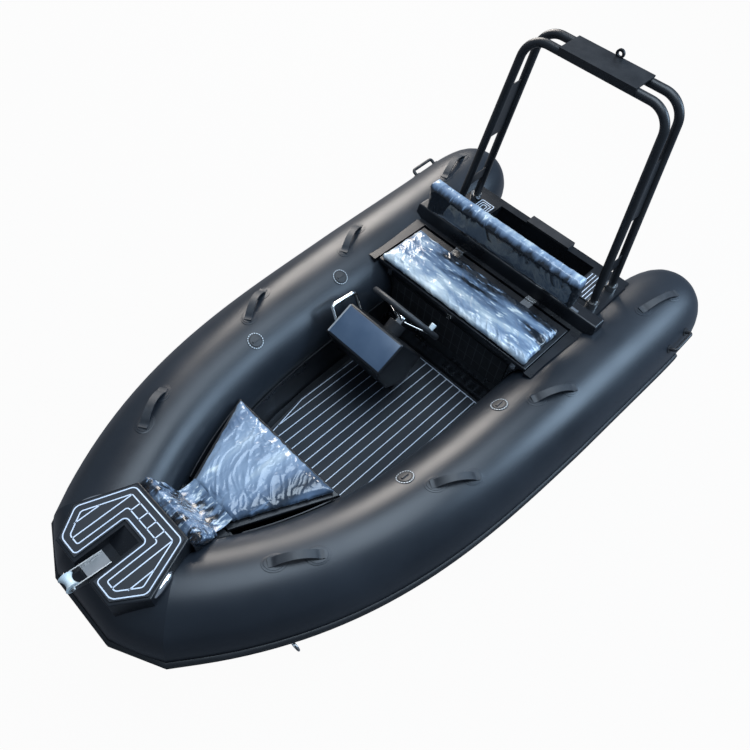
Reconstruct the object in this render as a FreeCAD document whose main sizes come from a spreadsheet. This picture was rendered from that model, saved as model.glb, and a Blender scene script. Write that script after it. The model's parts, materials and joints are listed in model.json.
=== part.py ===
import FreeCAD, Part
import Sketcher
import math
import os

# An inflatable rib boat with a rigid V hull, a helm console, a seat locker and a stern arch.
# Frame: X forward, Y to port, Z up, origin on the centre line at the waterline, at the transom.

V = FreeCAD.Vector
doc = FreeCAD.newDocument("rib_boat")
sheet = doc.addObject("Spreadsheet::Sheet", "Sizes")

# The driving dimensions in millimetres; a name that ends in share or shares is a ratio.
SIZES = dict(
    # collar
    tube_radius=239, bow_radius=209, tube_half_spacing=648, tube_axis_height=275,
    toe_in=78, bend_start=868, bow_axis=2640, bow_inset=392, bow_rise=112, bow_flat=112,
    cone_start=300, cone_end=-280, cone_length=597, cone_rise=56, seam_gap=0.3,
    # rubbing strake
    strake_height=46, strake_depth=14, strake_drop=4, strake_gap=1,
    # hull and sole
    keel_depth=116, keel_rise=288, floor_rise=200, chine_half_width=400, chine_height=-6,
    chine_rise=182, hull_side_half_width=470,
    hull_side_height=104, hull_flange=14, hull_gap=3, hull_nose=2596, keel_bend=1300, sole_top=17,
    sole_thickness=12, sole_front=1990, sole_gap=2, sole_half_width=392, liner_thickness=8, liner_height=262,
    pad_thickness=6, sole_pad_aft=856, sole_pad_front=1874, sole_pad_half_width=336,
    sole_pad_front_half_width=268,
    # transom and stern mouldings
    transom_thickness=48, transom_height=470,
    well_half_width=309, well_floor=150, well_floor_thickness=12,
    stern_deck_height=476, stern_deck_front=380, stern_deck_half_width=520,
    stern_pad_length=190, stern_pad_width=96, clamp_pad_width=276, clamp_pad_height=190,
    clamp_pad_thickness=14,
    seat_wall_height=553, seat_wall_aft=392, seat_wall_front=462, seat_wall_toe=506,
    seat_wall_half_width=566, seat_wall_round=9,
    # seat locker
    seat_box_aft=512, seat_box_front=836, seat_box_height=470,
    seat_box_wall=9, seat_front_pad_height=195, seat_lid_thickness=20, seat_lid_front=862,
    seat_lid_inset=16, seat_lid_round=5, seat_cushion_aft=568, seat_cushion_front=868,
    seat_cushion_inset=6, seat_cushion_thickness=40, cheek_front=884, cheek_rise=4, cheek_gap=6,
    cheek_depth=34, cheek_width=70, seat_hinge_spacing=227,
    hinge_leaf=46, hinge_barrel_radius=5, hinge_barrel_length=52, hinge_pin_radius=2.5,
    hinge_leaf_thickness=2.5, latch_width=26, latch_height=44, latch_depth=9, latch_offset=400,
    soft_gap=0.3,
    # backrest
    backrest_bottom=655, backrest_height=178, backrest_front=572, backrest_thickness=72,
    backrest_half_width=452, backrest_roll=30, bracket_width=42, bracket_thickness=8,
    bracket_spacing=264, bracket_rise=186, bracket_foot=52,
    # arch
    arch_tube_radius=20, arch_bend_radius=110, arch_front_foot=285, arch_rear_foot=116,
    arch_front_top=159, arch_rear_top=47, arch_foot_inset=60.6, arch_top_half_width=356,
    arch_height=1457, arch_socket_radius=29, arch_socket_height=34,
    arch_plate_length=146, arch_plate_width=380, arch_plate_thickness=8, eye_radius=20,
    eye_hole_radius=10, eye_thickness=10, gusset_thickness=5, gusset_top=1210, gusset_bottom=930,
    brace_top=700, brace_bottom=640, lip_thickness=4, lip_height=34,
    # console and helm
    console_centre=-162, console_half_width=172, console_aft_top=1189, console_top=515,
    console_front_top=1353, console_front_top_height=432, console_front_foot=1269,
    console_front_foot_height=237, console_belly=1160, console_belly_height=180,
    console_aft_foot=1015, console_aft_foot_height=270, console_panel_thickness=4,
    console_corner=12, console_round=11.5, pedestal_front=1138, pedestal_aft=1010, pedestal_half_width=112,
    helm_boss_radius=47, helm_boss_length=58, helm_tilt=35, helm_down=202,
    wheel_radius=186, wheel_rim_radius=15, wheel_offset=118, hub_radius=24, hub_length=30,
    spoke_radius=5, spoke_gap=17, shaft_radius=9.5, shaft_length=30,
    rail_tube_radius=10, rail_stand_off=46, rail_bend=24,
    # bow step, roller and lights
    step_top=646, step_rear=2456, step_rear_half_width=150, step_side=2672,
    step_side_half_width=236, step_front=2786, step_front_half_width=158, step_bottom=470,
    slot_rear=2588, slot_half_width=44, slot_floor=603, slot_ramp=70, slot_lip=4,
    step_pad_inset=13, step_round=5,
    channel_rear=2692, channel_height=22, channel_half_width=31, channel_wall=4, channel_front=2777,
    channel_deck=612, roller_x=2831, roller_z=636, roller_radius=26, roller_waist=15, roller_half_width=25,
    roller_pin_radius=6, roller_clearance=0.4, pin_overhang=6, cheek_radius=12,
    light_length=104, light_height=30, light_depth=14,
    # bow locker
    locker_aft=1884, locker_front=2300, locker_top=398, locker_wall=9,
    locker_aft_half_width=262, locker_front_half_width=150, lid_thickness=16,
    lid_aft_half_width=318, lid_front_half_width=126, bow_cushion_thickness=36,
    bow_lid_round=4, bolster_foot=2330, bolster_top_height=608, bolster_thickness=34, bolster_half_width=170,
    # collar fittings
    handle_length=200, handle_width=38, handle_rise=30, handle_thickness=4,
    patch_length=96, patch_width=74, patch_thickness=2.5, valve_radius=33, valve_height=5,
    valve_ring_width=8, carry_length=150, carry_rise=34, carry_radius=9, carry_pad=44, carry_foot=15,
    ring_radius=22, ring_wire=4, ring_patch=42,
    # stern pads
    pad_border=10, pad_start_aft=96,
    # seat shelf, hinges and latches
    seat_wall_set=18, seat_plinth_half_width=372, plinth_depth=12, plinth_height=133,
    seat_front_pad_drop=60, seat_hinge_x=512, hinge_pin_reach=6, seat_fixed_leaf=26, latch_drop=12,
    # arch plate, console and rail
    arch_plate_aft=34, eye_offset=15, eye_lift=14, console_slope=0.506, rail_foot=1288, rail_foot_height=446,
    rail_front=1272, rail_height=513, rail_aft=1118, rail_aft_height=498, rail_aft_foot_height=384,
    # lights and small clearances
    light_drop=24, light_station=2612, lid_gap=4, trim_gap=0.5, moulding_gap=4.5, trim_room=60,
    lid_overhang=6, locker_front_foot=250,
    locker_flare=66, locker_inner_floor=150, cushion_border=10, bow_hinge_spacing=70,
    bow_lid_leaf=16, bow_fixed_leaf=20, bolster_lift=6, bolster_length=210,
    # stations of the collar fittings
    handle_station=150, handle_pitch=712, handle_front_angle=-1, handle_rear_angle=13,
    valve_front=1677, valve_rear=1100, valve_angle=28, carry_station=60, carry_angle=62,
    ring_station=2280, ring_angle=104,
)
for row, (name, value) in enumerate(SIZES.items(), 1):
    sheet.set("A%d" % row, name)
    sheet.set("B%d" % row, str(value))
    sheet.setAlias("B%d" % row, name)
doc.recompute()


class Sheet:
    """Reads a driving dimension from the spreadsheet by its alias."""
    def __getattr__(self, name):
        return float(sheet.get(name))


S = Sheet()


# Shares and angles that hold at any size.
BEND_POWER_SHARE = 3.33
CONE_SHARES = (1.0, 0.95, 0.84, 0.67, 0.46, 0.22, 0.0)
SIDE_SHARES = (0.18, 0.33, 0.47, 0.61, 0.73, 0.84, 0.93)
HULL_SHARES = (0.0, 0.05, 0.1, 0.25, 0.4, 0.52, 0.62, 0.7, 0.77, 0.83, 0.88, 0.92, 0.95, 0.975, 0.988, 1.0)
CORNER_SHARE = 0.98
KEEL_POWER_SHARE = 3.0
QUARTER_SHARE = math.sin(math.radians(45))
HALF_SHARE = 0.5

HANDLE_SHARES = (0.0, 1.148, 2.044, 2.996)
HANDLE_REACH_SHARES = (1.0, 0.82, 0.74, 0.72)
HANDLE_TURN_SHARES = (1.0, 1.0, 1.23, 0.46)
made = {}
SHELF = "(seat_box_height + seat_lid_thickness)"


def named(text):
    """Writes the sheet's name before each alias of an expression."""
    words = []
    word = ""
    for letter in text + " ":
        if letter.isalnum() or letter == "_":
            word += letter
            continue
        words.append("Sizes." + word if word in SIZES else word)
        words.append(letter)
        word = ""
    return "".join(words).strip()


def number(text):
    """Works out an expression of aliases from the sheet."""
    probe = doc.getObject("Probe") or doc.addObject("Part::Box", "Probe")
    if "Value" not in probe.PropertiesList:
        probe.addProperty("App::PropertyFloat", "Value")
    probe.setExpression("Value", named(text))
    probe.recompute()
    return probe.Value


def keep(node, item):
    """Names a finished sub-part; the label names its file."""
    item.Label = node
    made[node] = item
    return item


def solid(name, shape, base=None):
    item = doc.addObject("Part::Feature", name)
    item.Shape = shape
    if base is not None:
        item.Placement.Base = base
    return item


def block(name, x, y, z):
    """A box between two expressions on each axis."""
    item = doc.addObject("Part::Box", name)
    for size, place, (low, high) in zip(("Length", "Width", "Height"), "xyz", (x, y, z)):
        item.setExpression(size, named("(%s) - (%s)" % (high, low)))
        item.setExpression("Placement.Base." + place, named(low))
    return item


def rod(name, radius, length, base, axis):
    """A cylinder from base along axis, its radius and length bound to the sheet."""
    item = doc.addObject("Part::Cylinder", name)
    item.setExpression("Radius", named(radius))
    item.setExpression("Height", named(length))
    item.Placement = FreeCAD.Placement(V(*base), FreeCAD.Rotation(V(0, 0, 1), V(*axis)))
    return item


def prism(name, plane, points, width, centre="0"):
    """A padded sketch whose corners are bound to the sheet, symmetric about centre."""
    body = doc.addObject("PartDesign::Body", name + "_body")
    sketch = body.newObject("Sketcher::SketchObject", name + "_sketch")
    role = {"XY": "XY_Plane", "XZ": "XZ_Plane", "YZ": "YZ_Plane"}[plane]
    flat = [item for item in body.Origin.OriginFeatures if item.Role == role][0]
    sketch.AttachmentSupport = [(flat, "")]
    sketch.MapMode = "FlatFace"
    corners = [(number(a), number(b)) for a, b in points]
    count = len(corners)
    for i, (a, b) in enumerate(corners):
        c, d = corners[(i + 1) % count]
        sketch.addGeometry(Part.LineSegment(V(a, b, 0), V(c, d, 0)), False)
    for i in range(count):
        sketch.addConstraint(Sketcher.Constraint("Coincident", i, 2, (i + 1) % count, 1))
    for i, (corner, point) in enumerate(zip(corners, points)):
        for kind, value, text in zip(("DistanceX", "DistanceY"), corner, point):
            index = sketch.addConstraint(Sketcher.Constraint(kind, i, 1, value))
            sketch.setExpression("Constraints[%d]" % index, named(text))
    pad = body.newObject("PartDesign::Pad", name + "_pad")
    pad.Profile = sketch
    pad.Midplane = True
    pad.setExpression("Length", named(width))
    body.Tip = pad
    across = {"XY": "z", "XZ": "y", "YZ": "x"}[plane]
    body.setExpression("Placement.Base." + across, named(centre))
    return body


def cut(name, base, *tools):
    for index, tool in enumerate(tools):
        item = doc.addObject("Part::Cut", "%s_cut%d" % (name, index))
        item.Base = base
        item.Tool = tool
        base = item
    return base


def biggest(name, item, count=1):
    """Keeps the main solids and drops slivers that trimming leaves outside the tubes."""
    doc.recompute()
    solids = sorted(item.Shape.Solids, key=lambda piece: -piece.Volume)[:count]
    return solid(name + "_main", Part.makeCompound(solids) if count > 1 else solids[0])


def fuse(name, *items):
    item = doc.addObject("Part::MultiFuse", name + "_fuse")
    item.Shapes = list(items)
    return item


def rounded(name, base, radius, picked):
    """Fillets the edges that picked chooses, with a radius from the sheet."""
    doc.recompute()
    edges = [i for i, edge in enumerate(base.Shape.Edges, 1) if picked(edge)]
    item = doc.addObject("Part::Fillet", name + "_fillet")
    item.Base = base
    item.Edges = [(i, number(radius), number(radius)) for i in edges]
    return item


# The collar's centre line: straight aft, then curving in and up to the bow.
def bend(x):
    return max(0.0, x - S.bend_start) / (S.bow_axis - S.bend_start)


def stern(x):
    return max(0.0, S.cone_start - x) / S.cone_length


def axis_y(x):
    return S.tube_half_spacing - S.toe_in * x / S.bow_axis - S.bow_inset * bend(x) ** BEND_POWER_SHARE


def axis_z(x):
    return S.tube_axis_height + S.bow_rise * bend(x) ** 2 + S.cone_rise * stern(x) ** 2


def radius(x):
    side = S.tube_radius - (S.tube_radius - S.bow_radius) * bend(x)
    return side * (1 - stern(x) ** 4) ** (1 / 3)


def heading(x):
    """The angle at which the port tube runs in towards the bow."""
    step = S.seam_gap
    return math.atan2(axis_y(x - step) - axis_y(x + step), 2 * step)


def ring(centre, angle, size, stretch=1.0):
    """An upright section of the tube, stretched sideways where two lengths are mitred."""
    circle = Part.Wire([Part.makeCircle(size, V(0, 0, 0), V(1, 0, 0))])
    matrix = FreeCAD.Matrix()
    matrix.scale(V(1, stretch, 1))
    circle = circle.transformGeometry(matrix)
    circle.Placement = FreeCAD.Placement(centre, FreeCAD.Rotation(V(0, 0, 1), -math.degrees(angle)))
    return circle


def side_stations():
    cone = [S.cone_start + (S.cone_end - S.cone_start) * share for share in CONE_SHARES]
    side = [S.cone_start + (S.bow_axis - S.cone_start) * share for share in SIDE_SHARES]
    return cone + side


def corner():
    """Where the port tube ends: its place, its heading and the next length's heading."""
    x = S.bow_axis * CORNER_SHARE
    first = V(x, axis_y(x), axis_z(x))
    second = V(S.bow_axis, S.bow_flat, axis_z(S.bow_axis))
    turn = math.atan2(first.y - second.y, second.x - first.x)
    return first, second, heading(x), turn


def side_rings(extra=0.0):
    rings = [ring(V(x, axis_y(x), axis_z(x)), heading(x), radius(x) + extra) for x in side_stations()]
    first, second, angle, turn = corner()
    half = (turn - angle) / 2
    rings.append(ring(first, angle + half, radius(first.x) + extra, 1 / math.cos(half)))
    return rings


def bow_rings(extra=0.0):
    first, second, angle, turn = corner()
    half = (turn - angle) / 2
    quarter = math.radians(90)
    last = (quarter - turn) / 2
    size = S.bow_radius + extra
    port = [
        ring(first, angle + half, radius(first.x) + extra, 1 / math.cos(half)),
        ring(second, turn + last, size, 1 / math.cos(last)),
    ]
    flip = FreeCAD.Matrix()
    flip.scale(V(1, -1, 1))
    starboard = [wire.transformGeometry(flip) for wire in reversed(port)]
    return port, starboard


def tube_shape(side, extra=0.0):
    shape = Part.makeLoft(side_rings(extra), True, False)
    if side < 0:
        shape = shape.mirror(V(0, 0, 0), V(0, 1, 0))
    return shape


def bow_shape(extra=0.0):
    port, starboard = bow_rings(extra)
    first = Part.makeLoft(port, True, True)
    second = first.mirror(V(0, 0, 0), V(0, 1, 0))
    width = Part.makeLoft([port[1], port[1].mirror(V(0, 0, 0), V(0, 1, 0))], True, True)
    return first.fuse([width, second]).removeSplitter()


tube_port = keep("tube_port", solid("tube_port", tube_shape(1)))
tube_starboard = keep("tube_starboard", solid("tube_starboard", tube_shape(-1)))
tube_bow = keep("tube_bow", solid("tube_bow", bow_shape()))
collar = (tube_port, tube_starboard, tube_bow)
doc.recompute()


# The rubbing strake runs round the outside of the collar a little below its axis.
def strake_ring(centre, angle, size, stretch=1.0):
    inner = (size + S.strake_gap) * stretch
    outer = (size + S.strake_depth) * stretch
    low = -S.strake_drop - S.strake_height * HALF_SHARE
    high = low + S.strake_height
    slope = S.strake_height * HALF_SHARE * HALF_SHARE
    points = [V(0, inner, low), V(0, outer, low + slope), V(0, outer, high - slope), V(0, inner, high)]
    wire = Part.makePolygon(points + points[:1])
    wire.Placement = FreeCAD.Placement(centre, FreeCAD.Rotation(V(0, 0, 1), -math.degrees(angle)))
    return wire


def strake_shape():
    stations = [x for x in side_stations() if x > 0]
    side = [strake_ring(V(x, axis_y(x), axis_z(x)), heading(x), radius(x)) for x in stations]
    first, second, angle, turn = corner()
    half = (turn - angle) / 2
    last = (math.radians(90) - turn) / 2
    mitre = strake_ring(first, angle + half, radius(first.x), 1 / math.cos(half))
    front = strake_ring(second, turn + last, S.bow_radius, 1 / math.cos(last))
    flip = (V(0, 0, 0), V(0, 1, 0))
    port = [Part.makeLoft(side + [mitre], True, False), Part.makeLoft([mitre, front], True, True)]
    starboard = [piece.mirror(*flip) for piece in port]
    middle = Part.makeLoft([front, front.mirror(*flip)], True, True)
    return middle.fuse(port + starboard)


rub_strake = keep("rub_strake", solid("strake_bar", strake_shape()))


# The hull: a V bottom with flat chines and a flange up each side to the collar.
def side_edge(x):
    """Where the hull's side meets the lower inner quarter of the tube."""
    reach = radius(x) * QUARTER_SHARE / math.cos(heading(x))
    top = axis_z(x) - radius(x) * QUARTER_SHARE
    across = max(0.0, S.bow_radius ** 2 - (S.bow_axis - x) ** 2)
    if x > S.bow_axis - S.bow_radius:
        top = min(top, axis_z(S.bow_axis) - math.sqrt(across) - S.hull_gap)
    return axis_y(x) - reach - S.hull_gap, top


def hull_section(share):
    x = S.transom_thickness + (S.hull_nose - S.transom_thickness) * share
    side, top = side_edge(x)
    full = S.tube_half_spacing - S.tube_radius * QUARTER_SHARE
    lift = max(0.0, x - S.keel_bend) / (S.hull_nose - S.keel_bend)
    keel = -S.keel_depth + S.keel_rise * lift ** KEEL_POWER_SHARE
    chine = S.chine_half_width * side / full
    rise = max(0.0, x - S.sole_front) / (S.hull_nose - S.sole_front)
    chine_z = S.chine_height + S.chine_rise * rise ** 2
    floor = min(S.sole_top - S.sole_thickness + S.floor_rise * rise ** 2, top - S.seam_gap)
    inside = S.sole_half_width * side / full
    half = [(chine, chine_z), (side, top), (side - S.hull_flange, top), (inside - S.hull_flange, floor)]
    return [V(x, 0, keel)] + [V(x, y, z) for y, z in half] + [V(x, -y, z) for y, z in reversed(half)]


def plated(sections):
    """A closed solid of flat plates between sections that have equal numbers of corners."""
    near, far = list(reversed(sections[0])), sections[-1]
    faces = [Part.Face(Part.makePolygon(points + points[:1])) for points in (near, far)]
    for first, second in zip(sections, sections[1:]):
        for i, at in enumerate(first):
            after = first[(i + 1) % len(first)]
            over, over_after = second[i], second[(i + 1) % len(first)]
            plates = ((at, after, over_after), (at, over_after, over))
            if at.y + after.y < 0:
                plates = ((at, after, over), (after, over_after, over))
            for corners in plates:
                faces.append(Part.Face(Part.makePolygon(list(corners) + [corners[0]])))
    body = Part.makeSolid(Part.makeShell(faces))
    if body.Volume < 0:
        body.reverse()
    return body.removeSplitter()


hull = keep("hull", solid("hull", plated([hull_section(share) for share in HULL_SHARES])))


def trimmer(low, high, extra, side=1):
    """A length of the side tube, a little fatter, for trimming what fits against it."""
    rings = []
    for x in spaced(low, high, 5):
        place = V(x, axis_y(x), axis_z(x))
        rings.append(ring(place, heading(x), radius(x) + extra))
    shape = Part.makeLoft(rings, True, False)
    return shape if side > 0 else shape.mirror(V(0, 0, 0), V(0, 1, 0))


def spaced(start, end, count):
    return [start + (end - start) * i / (count - 1) for i in range(count)]


aft_port, aft_starboard, fore_port, fore_starboard = [
    solid("trim_tool", trimmer(low, high, S.moulding_gap, side))
    for low, high in ((-S.tube_radius, S.seat_box_front + S.trim_room),
                      (S.locker_aft - S.trim_room, S.bow_axis * CORNER_SHARE))
    for side in (1, -1)]
aft_thick, aft_thick_twin, fore_thick, fore_thick_twin = [
    solid("wall_tool", trimmer(low, high, S.seat_box_wall, side))
    for low, high in ((S.seat_box_aft - S.trim_room, S.seat_box_front + S.trim_room),
                      (S.locker_aft - S.trim_room, S.locker_front + S.trim_room))
    for side in (1, -1)]

def flank(side):
    """All that lies outboard of the hull's inner faces, for trimming what stands in the hull."""
    sections = []
    for share in (-HALF_SHARE / len(HULL_SHARES),) + HULL_SHARES:
        x = S.transom_thickness + (S.hull_nose - S.transom_thickness) * share
        edge, top = side_edge(x)
        full = S.tube_half_spacing - S.tube_radius * QUARTER_SHARE
        rise = max(0.0, x - S.sole_front) / (S.hull_nose - S.sole_front)
        floor = min(S.sole_top - S.sole_thickness + S.floor_rise * rise ** 2, top - S.seam_gap)
        low = S.sole_half_width * edge / full - S.hull_flange - S.trim_gap
        high = edge - S.hull_flange - S.trim_gap
        deep, wide = -S.keel_depth * 2, high + S.tube_radius
        over = top + S.tube_radius / 3
        corners = [(low, floor), (high, top + S.seam_gap), (high + S.tube_radius / 3, over), (wide, over),
                   (wide, deep), (low, deep)]
        sections.append([V(x, side * y, z) for y, z in corners[::-side]])
    return solid("flank_tool", plated(sections))


flanks = [flank(1), flank(-1)]
bow_tool = solid("bow_tool", bow_shape(S.trim_gap))


# The sole lies on the hull's flat inner bottom.
def sole_half(x):
    full = S.tube_half_spacing - S.tube_radius * QUARTER_SHARE
    return S.sole_half_width * side_edge(x)[0] / full - S.hull_flange - S.sole_gap


def plan(outline, low, high):
    """A flat piece of a plan outline given for the port side, from low to high."""
    points = [V(x, y, low) for x, y in outline] + [V(x, -y, low) for x, y in reversed(outline)]
    return Part.Face(Part.makePolygon(points + points[:1])).extrude(V(0, 0, high - low))


sole_outline = [(x, sole_half(x)) for x in spaced(S.transom_thickness, S.sole_front, 6)]
sole_under = S.sole_top - S.sole_thickness + S.soft_gap
sole = keep("cockpit_sole", solid("sole", plan(sole_outline, sole_under, S.sole_top)))

# The non-slip pad on the sole.
pad_outline = [(S.sole_pad_aft, S.sole_pad_half_width), (S.bend_start + S.tube_half_spacing,
               S.sole_pad_half_width), (S.sole_pad_front, S.sole_pad_front_half_width)]
sole_pad = keep("sole_pad", solid("sole_pad", plan(pad_outline, S.sole_top, S.sole_top + S.pad_thickness)))


# The liner walls stand on the sole inside the tangent line of each tube.
def liner_shape():
    stations = spaced(S.seat_box_front + S.pad_thickness, S.locker_aft - S.seam_gap, 6)
    outer = [(x, axis_y(x) - radius(x) - S.seam_gap) for x in stations]
    inner = [(x, y - S.liner_thickness) for x, y in reversed(outer)]
    points = [V(x, y, S.sole_top) for x, y in outer + inner]
    face = Part.Face(Part.makePolygon(points + points[:1]))
    port = face.extrude(V(0, 0, S.liner_height - S.sole_top))
    return Part.makeCompound([port, port.mirror(V(0, 0, 0), V(0, 1, 0))])


keep("cockpit_liners", cut("cockpit_liners", solid("liner_walls", liner_shape()), *flanks))

# The transom closes the hull between the tubes.
transom_block = prism("transom", "YZ", [
    ("0", "-keel_depth"), ("chine_half_width", "chine_height"),
    ("hull_side_half_width + hull_flange", "hull_side_height"), ("stern_deck_half_width", "tube_axis_height"),
    ("stern_deck_half_width", "transom_height"), ("-stern_deck_half_width", "transom_height"),
    ("-stern_deck_half_width", "tube_axis_height"), ("-hull_side_half_width - hull_flange",
     "hull_side_height"), ("-chine_half_width", "chine_height")],
    "transom_thickness", "transom_thickness / 2")
transom = keep("transom", cut("transom", transom_block, aft_port, aft_starboard))

# The engine's clamp pad wraps the top of the transom: a face plate and a cap.
clamp_plate = block("clamp_plate", ("-clamp_pad_thickness", "0"),
                    ("-clamp_pad_width / 2", "clamp_pad_width / 2"),
                    ("transom_height - clamp_pad_height", "transom_height"))
clamp_cap = block("clamp_cap", ("-clamp_pad_thickness", "transom_thickness"),
                  ("-clamp_pad_width / 2", "clamp_pad_width / 2"),
                  ("transom_height", "transom_height + clamp_pad_thickness"))
clamp_pad = keep("clamp_pad", fuse("clamp_pad", clamp_plate, clamp_cap))

# The stern decks: a closed side box each side of the motor well, under the arch's feet.
deck_port = block("stern_deck_port", ("transom_thickness", "stern_deck_front"),
                  ("well_half_width", "stern_deck_half_width"), ("sole_top", "stern_deck_height"))
deck_starboard = block("stern_deck_starboard", ("transom_thickness", "stern_deck_front"),
                       ("-stern_deck_half_width", "-well_half_width"),
                       ("sole_top", "stern_deck_height"))
trim = [aft_port, aft_starboard] + flanks
keep("stern_deck_port", biggest("deck_port", cut("stern_deck_port", deck_port, *trim)))
keep("stern_deck_starboard", biggest("deck_starboard", cut("stern_deck_starboard", deck_starboard, *trim)))
well = block("well_floor", ("transom_thickness", "stern_deck_front"),
             ("-well_half_width", "well_half_width"), ("well_floor", "well_floor + well_floor_thickness"))
keep("well_floor", well)
stern_pads = [block("stern_pad_port", ("stern_deck_front - stern_pad_length - pad_start_aft",
                                       "stern_deck_front - pad_start_aft"),
                    ("well_half_width + pad_border", "well_half_width + pad_border + stern_pad_width"),
                    ("stern_deck_height", "stern_deck_height + pad_thickness")),
              block("stern_pad_starboard", ("stern_deck_front - stern_pad_length - pad_start_aft",
                                            "stern_deck_front - pad_start_aft"),
                    ("-well_half_width - pad_border - stern_pad_width", "-well_half_width - pad_border"),
                    ("stern_deck_height", "stern_deck_height + pad_thickness"))]
keep("stern_pads", fuse("stern_pads", *stern_pads))

# The seat wall: a moulding across the boat behind the seat, with a ledge for the backrest.
seat_wall_block = prism("seat_wall", "XZ", [
    ("stern_deck_front", "sole_top"), ("seat_wall_toe", "sole_top"), ("seat_wall_toe", SHELF),
    ("seat_wall_front + seat_wall_set", SHELF), ("seat_wall_front", "seat_wall_height"),
    ("seat_wall_aft", "seat_wall_height"), ("stern_deck_front", "stern_deck_height")],
    "2 * seat_wall_half_width")
seat_wall_edges = rounded("seat_wall", seat_wall_block, "seat_wall_round",
                          lambda edge: edge.BoundBox.ZMin > S.seat_wall_height - S.seam_gap)
seat_wall = keep("seat_wall", biggest("seat_wall", cut("seat_wall", seat_wall_edges, *trim)))


def inner_face(x, z):
    """How far from the centre line the tube's skin is, at a station and a height above its axis."""
    return axis_y(x) - math.sqrt(radius(x) ** 2 - (z - axis_z(x)) ** 2)


# The seat locker: a hollow box between the tubes, with a plinth at its foot.
lid_half = "%.3f" % (inner_face(S.seat_lid_front, S.seat_box_height) - S.seat_lid_inset)
box_outer = block("seat_box_outer", ("seat_box_aft", "seat_box_front"),
                  ("-" + lid_half, lid_half), ("sole_top", "seat_box_height"))
box_inner = block("seat_box_inner", ("seat_box_aft + seat_box_wall", "seat_box_front - seat_box_wall"),
                  ("-%s + seat_box_wall" % lid_half, lid_half + " - seat_box_wall"),
                  ("sole_top + seat_box_wall", "seat_box_height + seat_box_wall"))
box_space = cut("seat_box_space", box_inner, aft_thick, aft_thick_twin)
plinth = block("plinth", ("seat_box_front", "seat_box_front + plinth_depth"),
               ("-seat_plinth_half_width", "seat_plinth_half_width"), ("sole_top", "plinth_height"))
seat_box = cut("seat_box", fuse("seat_box", cut("seat_box_shell", box_outer, box_space), plinth), *trim)
keep("seat_box", biggest("seat_box", seat_box))
front_pad = block("seat_front_pad", ("seat_box_front", "seat_box_front + pad_thickness"),
                  ("-seat_plinth_half_width", "seat_plinth_half_width"),
                  ("seat_box_height - seat_front_pad_drop - seat_front_pad_height",
                   "seat_box_height - seat_front_pad_drop"))
keep("seat_front_pad", cut("seat_front_pad", front_pad, aft_port, aft_starboard))

# The seat lid, hinged along its aft edge, and the cushion fixed on it.
lid = block("seat_lid", ("seat_hinge_x + hinge_pin_reach", "seat_lid_front"),
            ("-" + lid_half, lid_half),
            ("seat_box_height", "seat_box_height + seat_lid_thickness"))
keep("seat_lid", rounded("seat_lid", lid, "seat_lid_round",
                         lambda edge: edge.BoundBox.ZMin > number(SHELF) - S.seam_gap))
cushion = block("seat_cushion", ("seat_cushion_aft", "seat_cushion_front"),
                ("-%s + seat_cushion_inset" % lid_half, lid_half + " - seat_cushion_inset"),
                (SHELF + " + soft_gap", SHELF + " + soft_gap + seat_cushion_thickness"))
doc.recompute()
cushion_edges = rounded("seat_cushion", cushion, "seat_cushion_thickness / 3",
                        lambda edge: edge.BoundBox.ZMin > cushion.Shape.BoundBox.Center.z)
keep("seat_cushion", cushion_edges)

# The cheeks fill the gap between the lid and each tube.
cheek_in = lid_half + " + cheek_gap"
cheek_out = cheek_in + " + cheek_width"
cheek_z = (SHELF + " - cheek_depth", SHELF + " + cheek_rise")
cheeks = [block("seat_cheek_port", ("seat_wall_toe", "cheek_front"), (cheek_in, cheek_out), cheek_z),
          block("seat_cheek_starboard", ("seat_wall_toe", "cheek_front"),
                ("-(%s)" % cheek_out, "-(%s)" % cheek_in), cheek_z)]
cheeks_cut = cut("seat_cheeks", fuse("seat_cheeks", *cheeks), aft_port, aft_starboard)
keep("seat_cheeks", biggest("seat_cheeks", cheeks_cut, 2))


# Hinges: a leaf and two outer knuckles with the pin on one side, a leaf and a middle knuckle on the other.
def hinge(name, x, z, sides, length, lid_leaf, fixed_leaf, lid_sign):
    fixed, moving = [], []
    gap = S.roller_clearance
    third = length / 3
    for y in sides:
        reach = S.hinge_barrel_radius
        low = z - reach
        for sign, leaf, group, spans in (
                (-lid_sign, fixed_leaf, fixed, ((0, third - gap), (2 * third + gap, length))),
                (lid_sign, lid_leaf, moving, ((third + gap, 2 * third - gap),))):
            plate = Part.makeBox(leaf, length, S.hinge_leaf_thickness,
                                 V(x if sign > 0 else x - leaf, y - length / 2, low))
            away = Part.makeCylinder(reach + gap, length, V(x, y - length / 2, z), V(0, 1, 0))
            piece = plate.cut(away)
            for start, end in spans:
                knuckle = Part.makeCylinder(reach, end - start, V(x, y - length / 2 + start, z), V(0, 1, 0))
                foot = Part.makeBox(reach + 2 * gap, end - start, S.hinge_leaf_thickness,
                                    V(x if sign > 0 else x - reach - 2 * gap, y - length / 2 + start, low))
                piece = piece.fuse(knuckle.fuse(foot))
            pin = Part.makeCylinder(S.hinge_pin_radius + (gap / 2 if group is moving else 0), length,
                                    V(x, y - length / 2, z), V(0, 1, 0))
            group.append(piece.cut(pin) if group is moving else piece.fuse(pin))
    keep(name + "_fixed", solid(name + "_fixed", Part.makeCompound(fixed)))
    keep(name + "_leaf", solid(name + "_leaf", Part.makeCompound(moving)))


hinge("seat_hinge", S.seat_hinge_x, number(SHELF) + S.hinge_barrel_radius,
      (-S.seat_hinge_spacing, S.seat_hinge_spacing), S.hinge_barrel_length, S.hinge_leaf,
      S.seat_fixed_leaf, 1)

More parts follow.
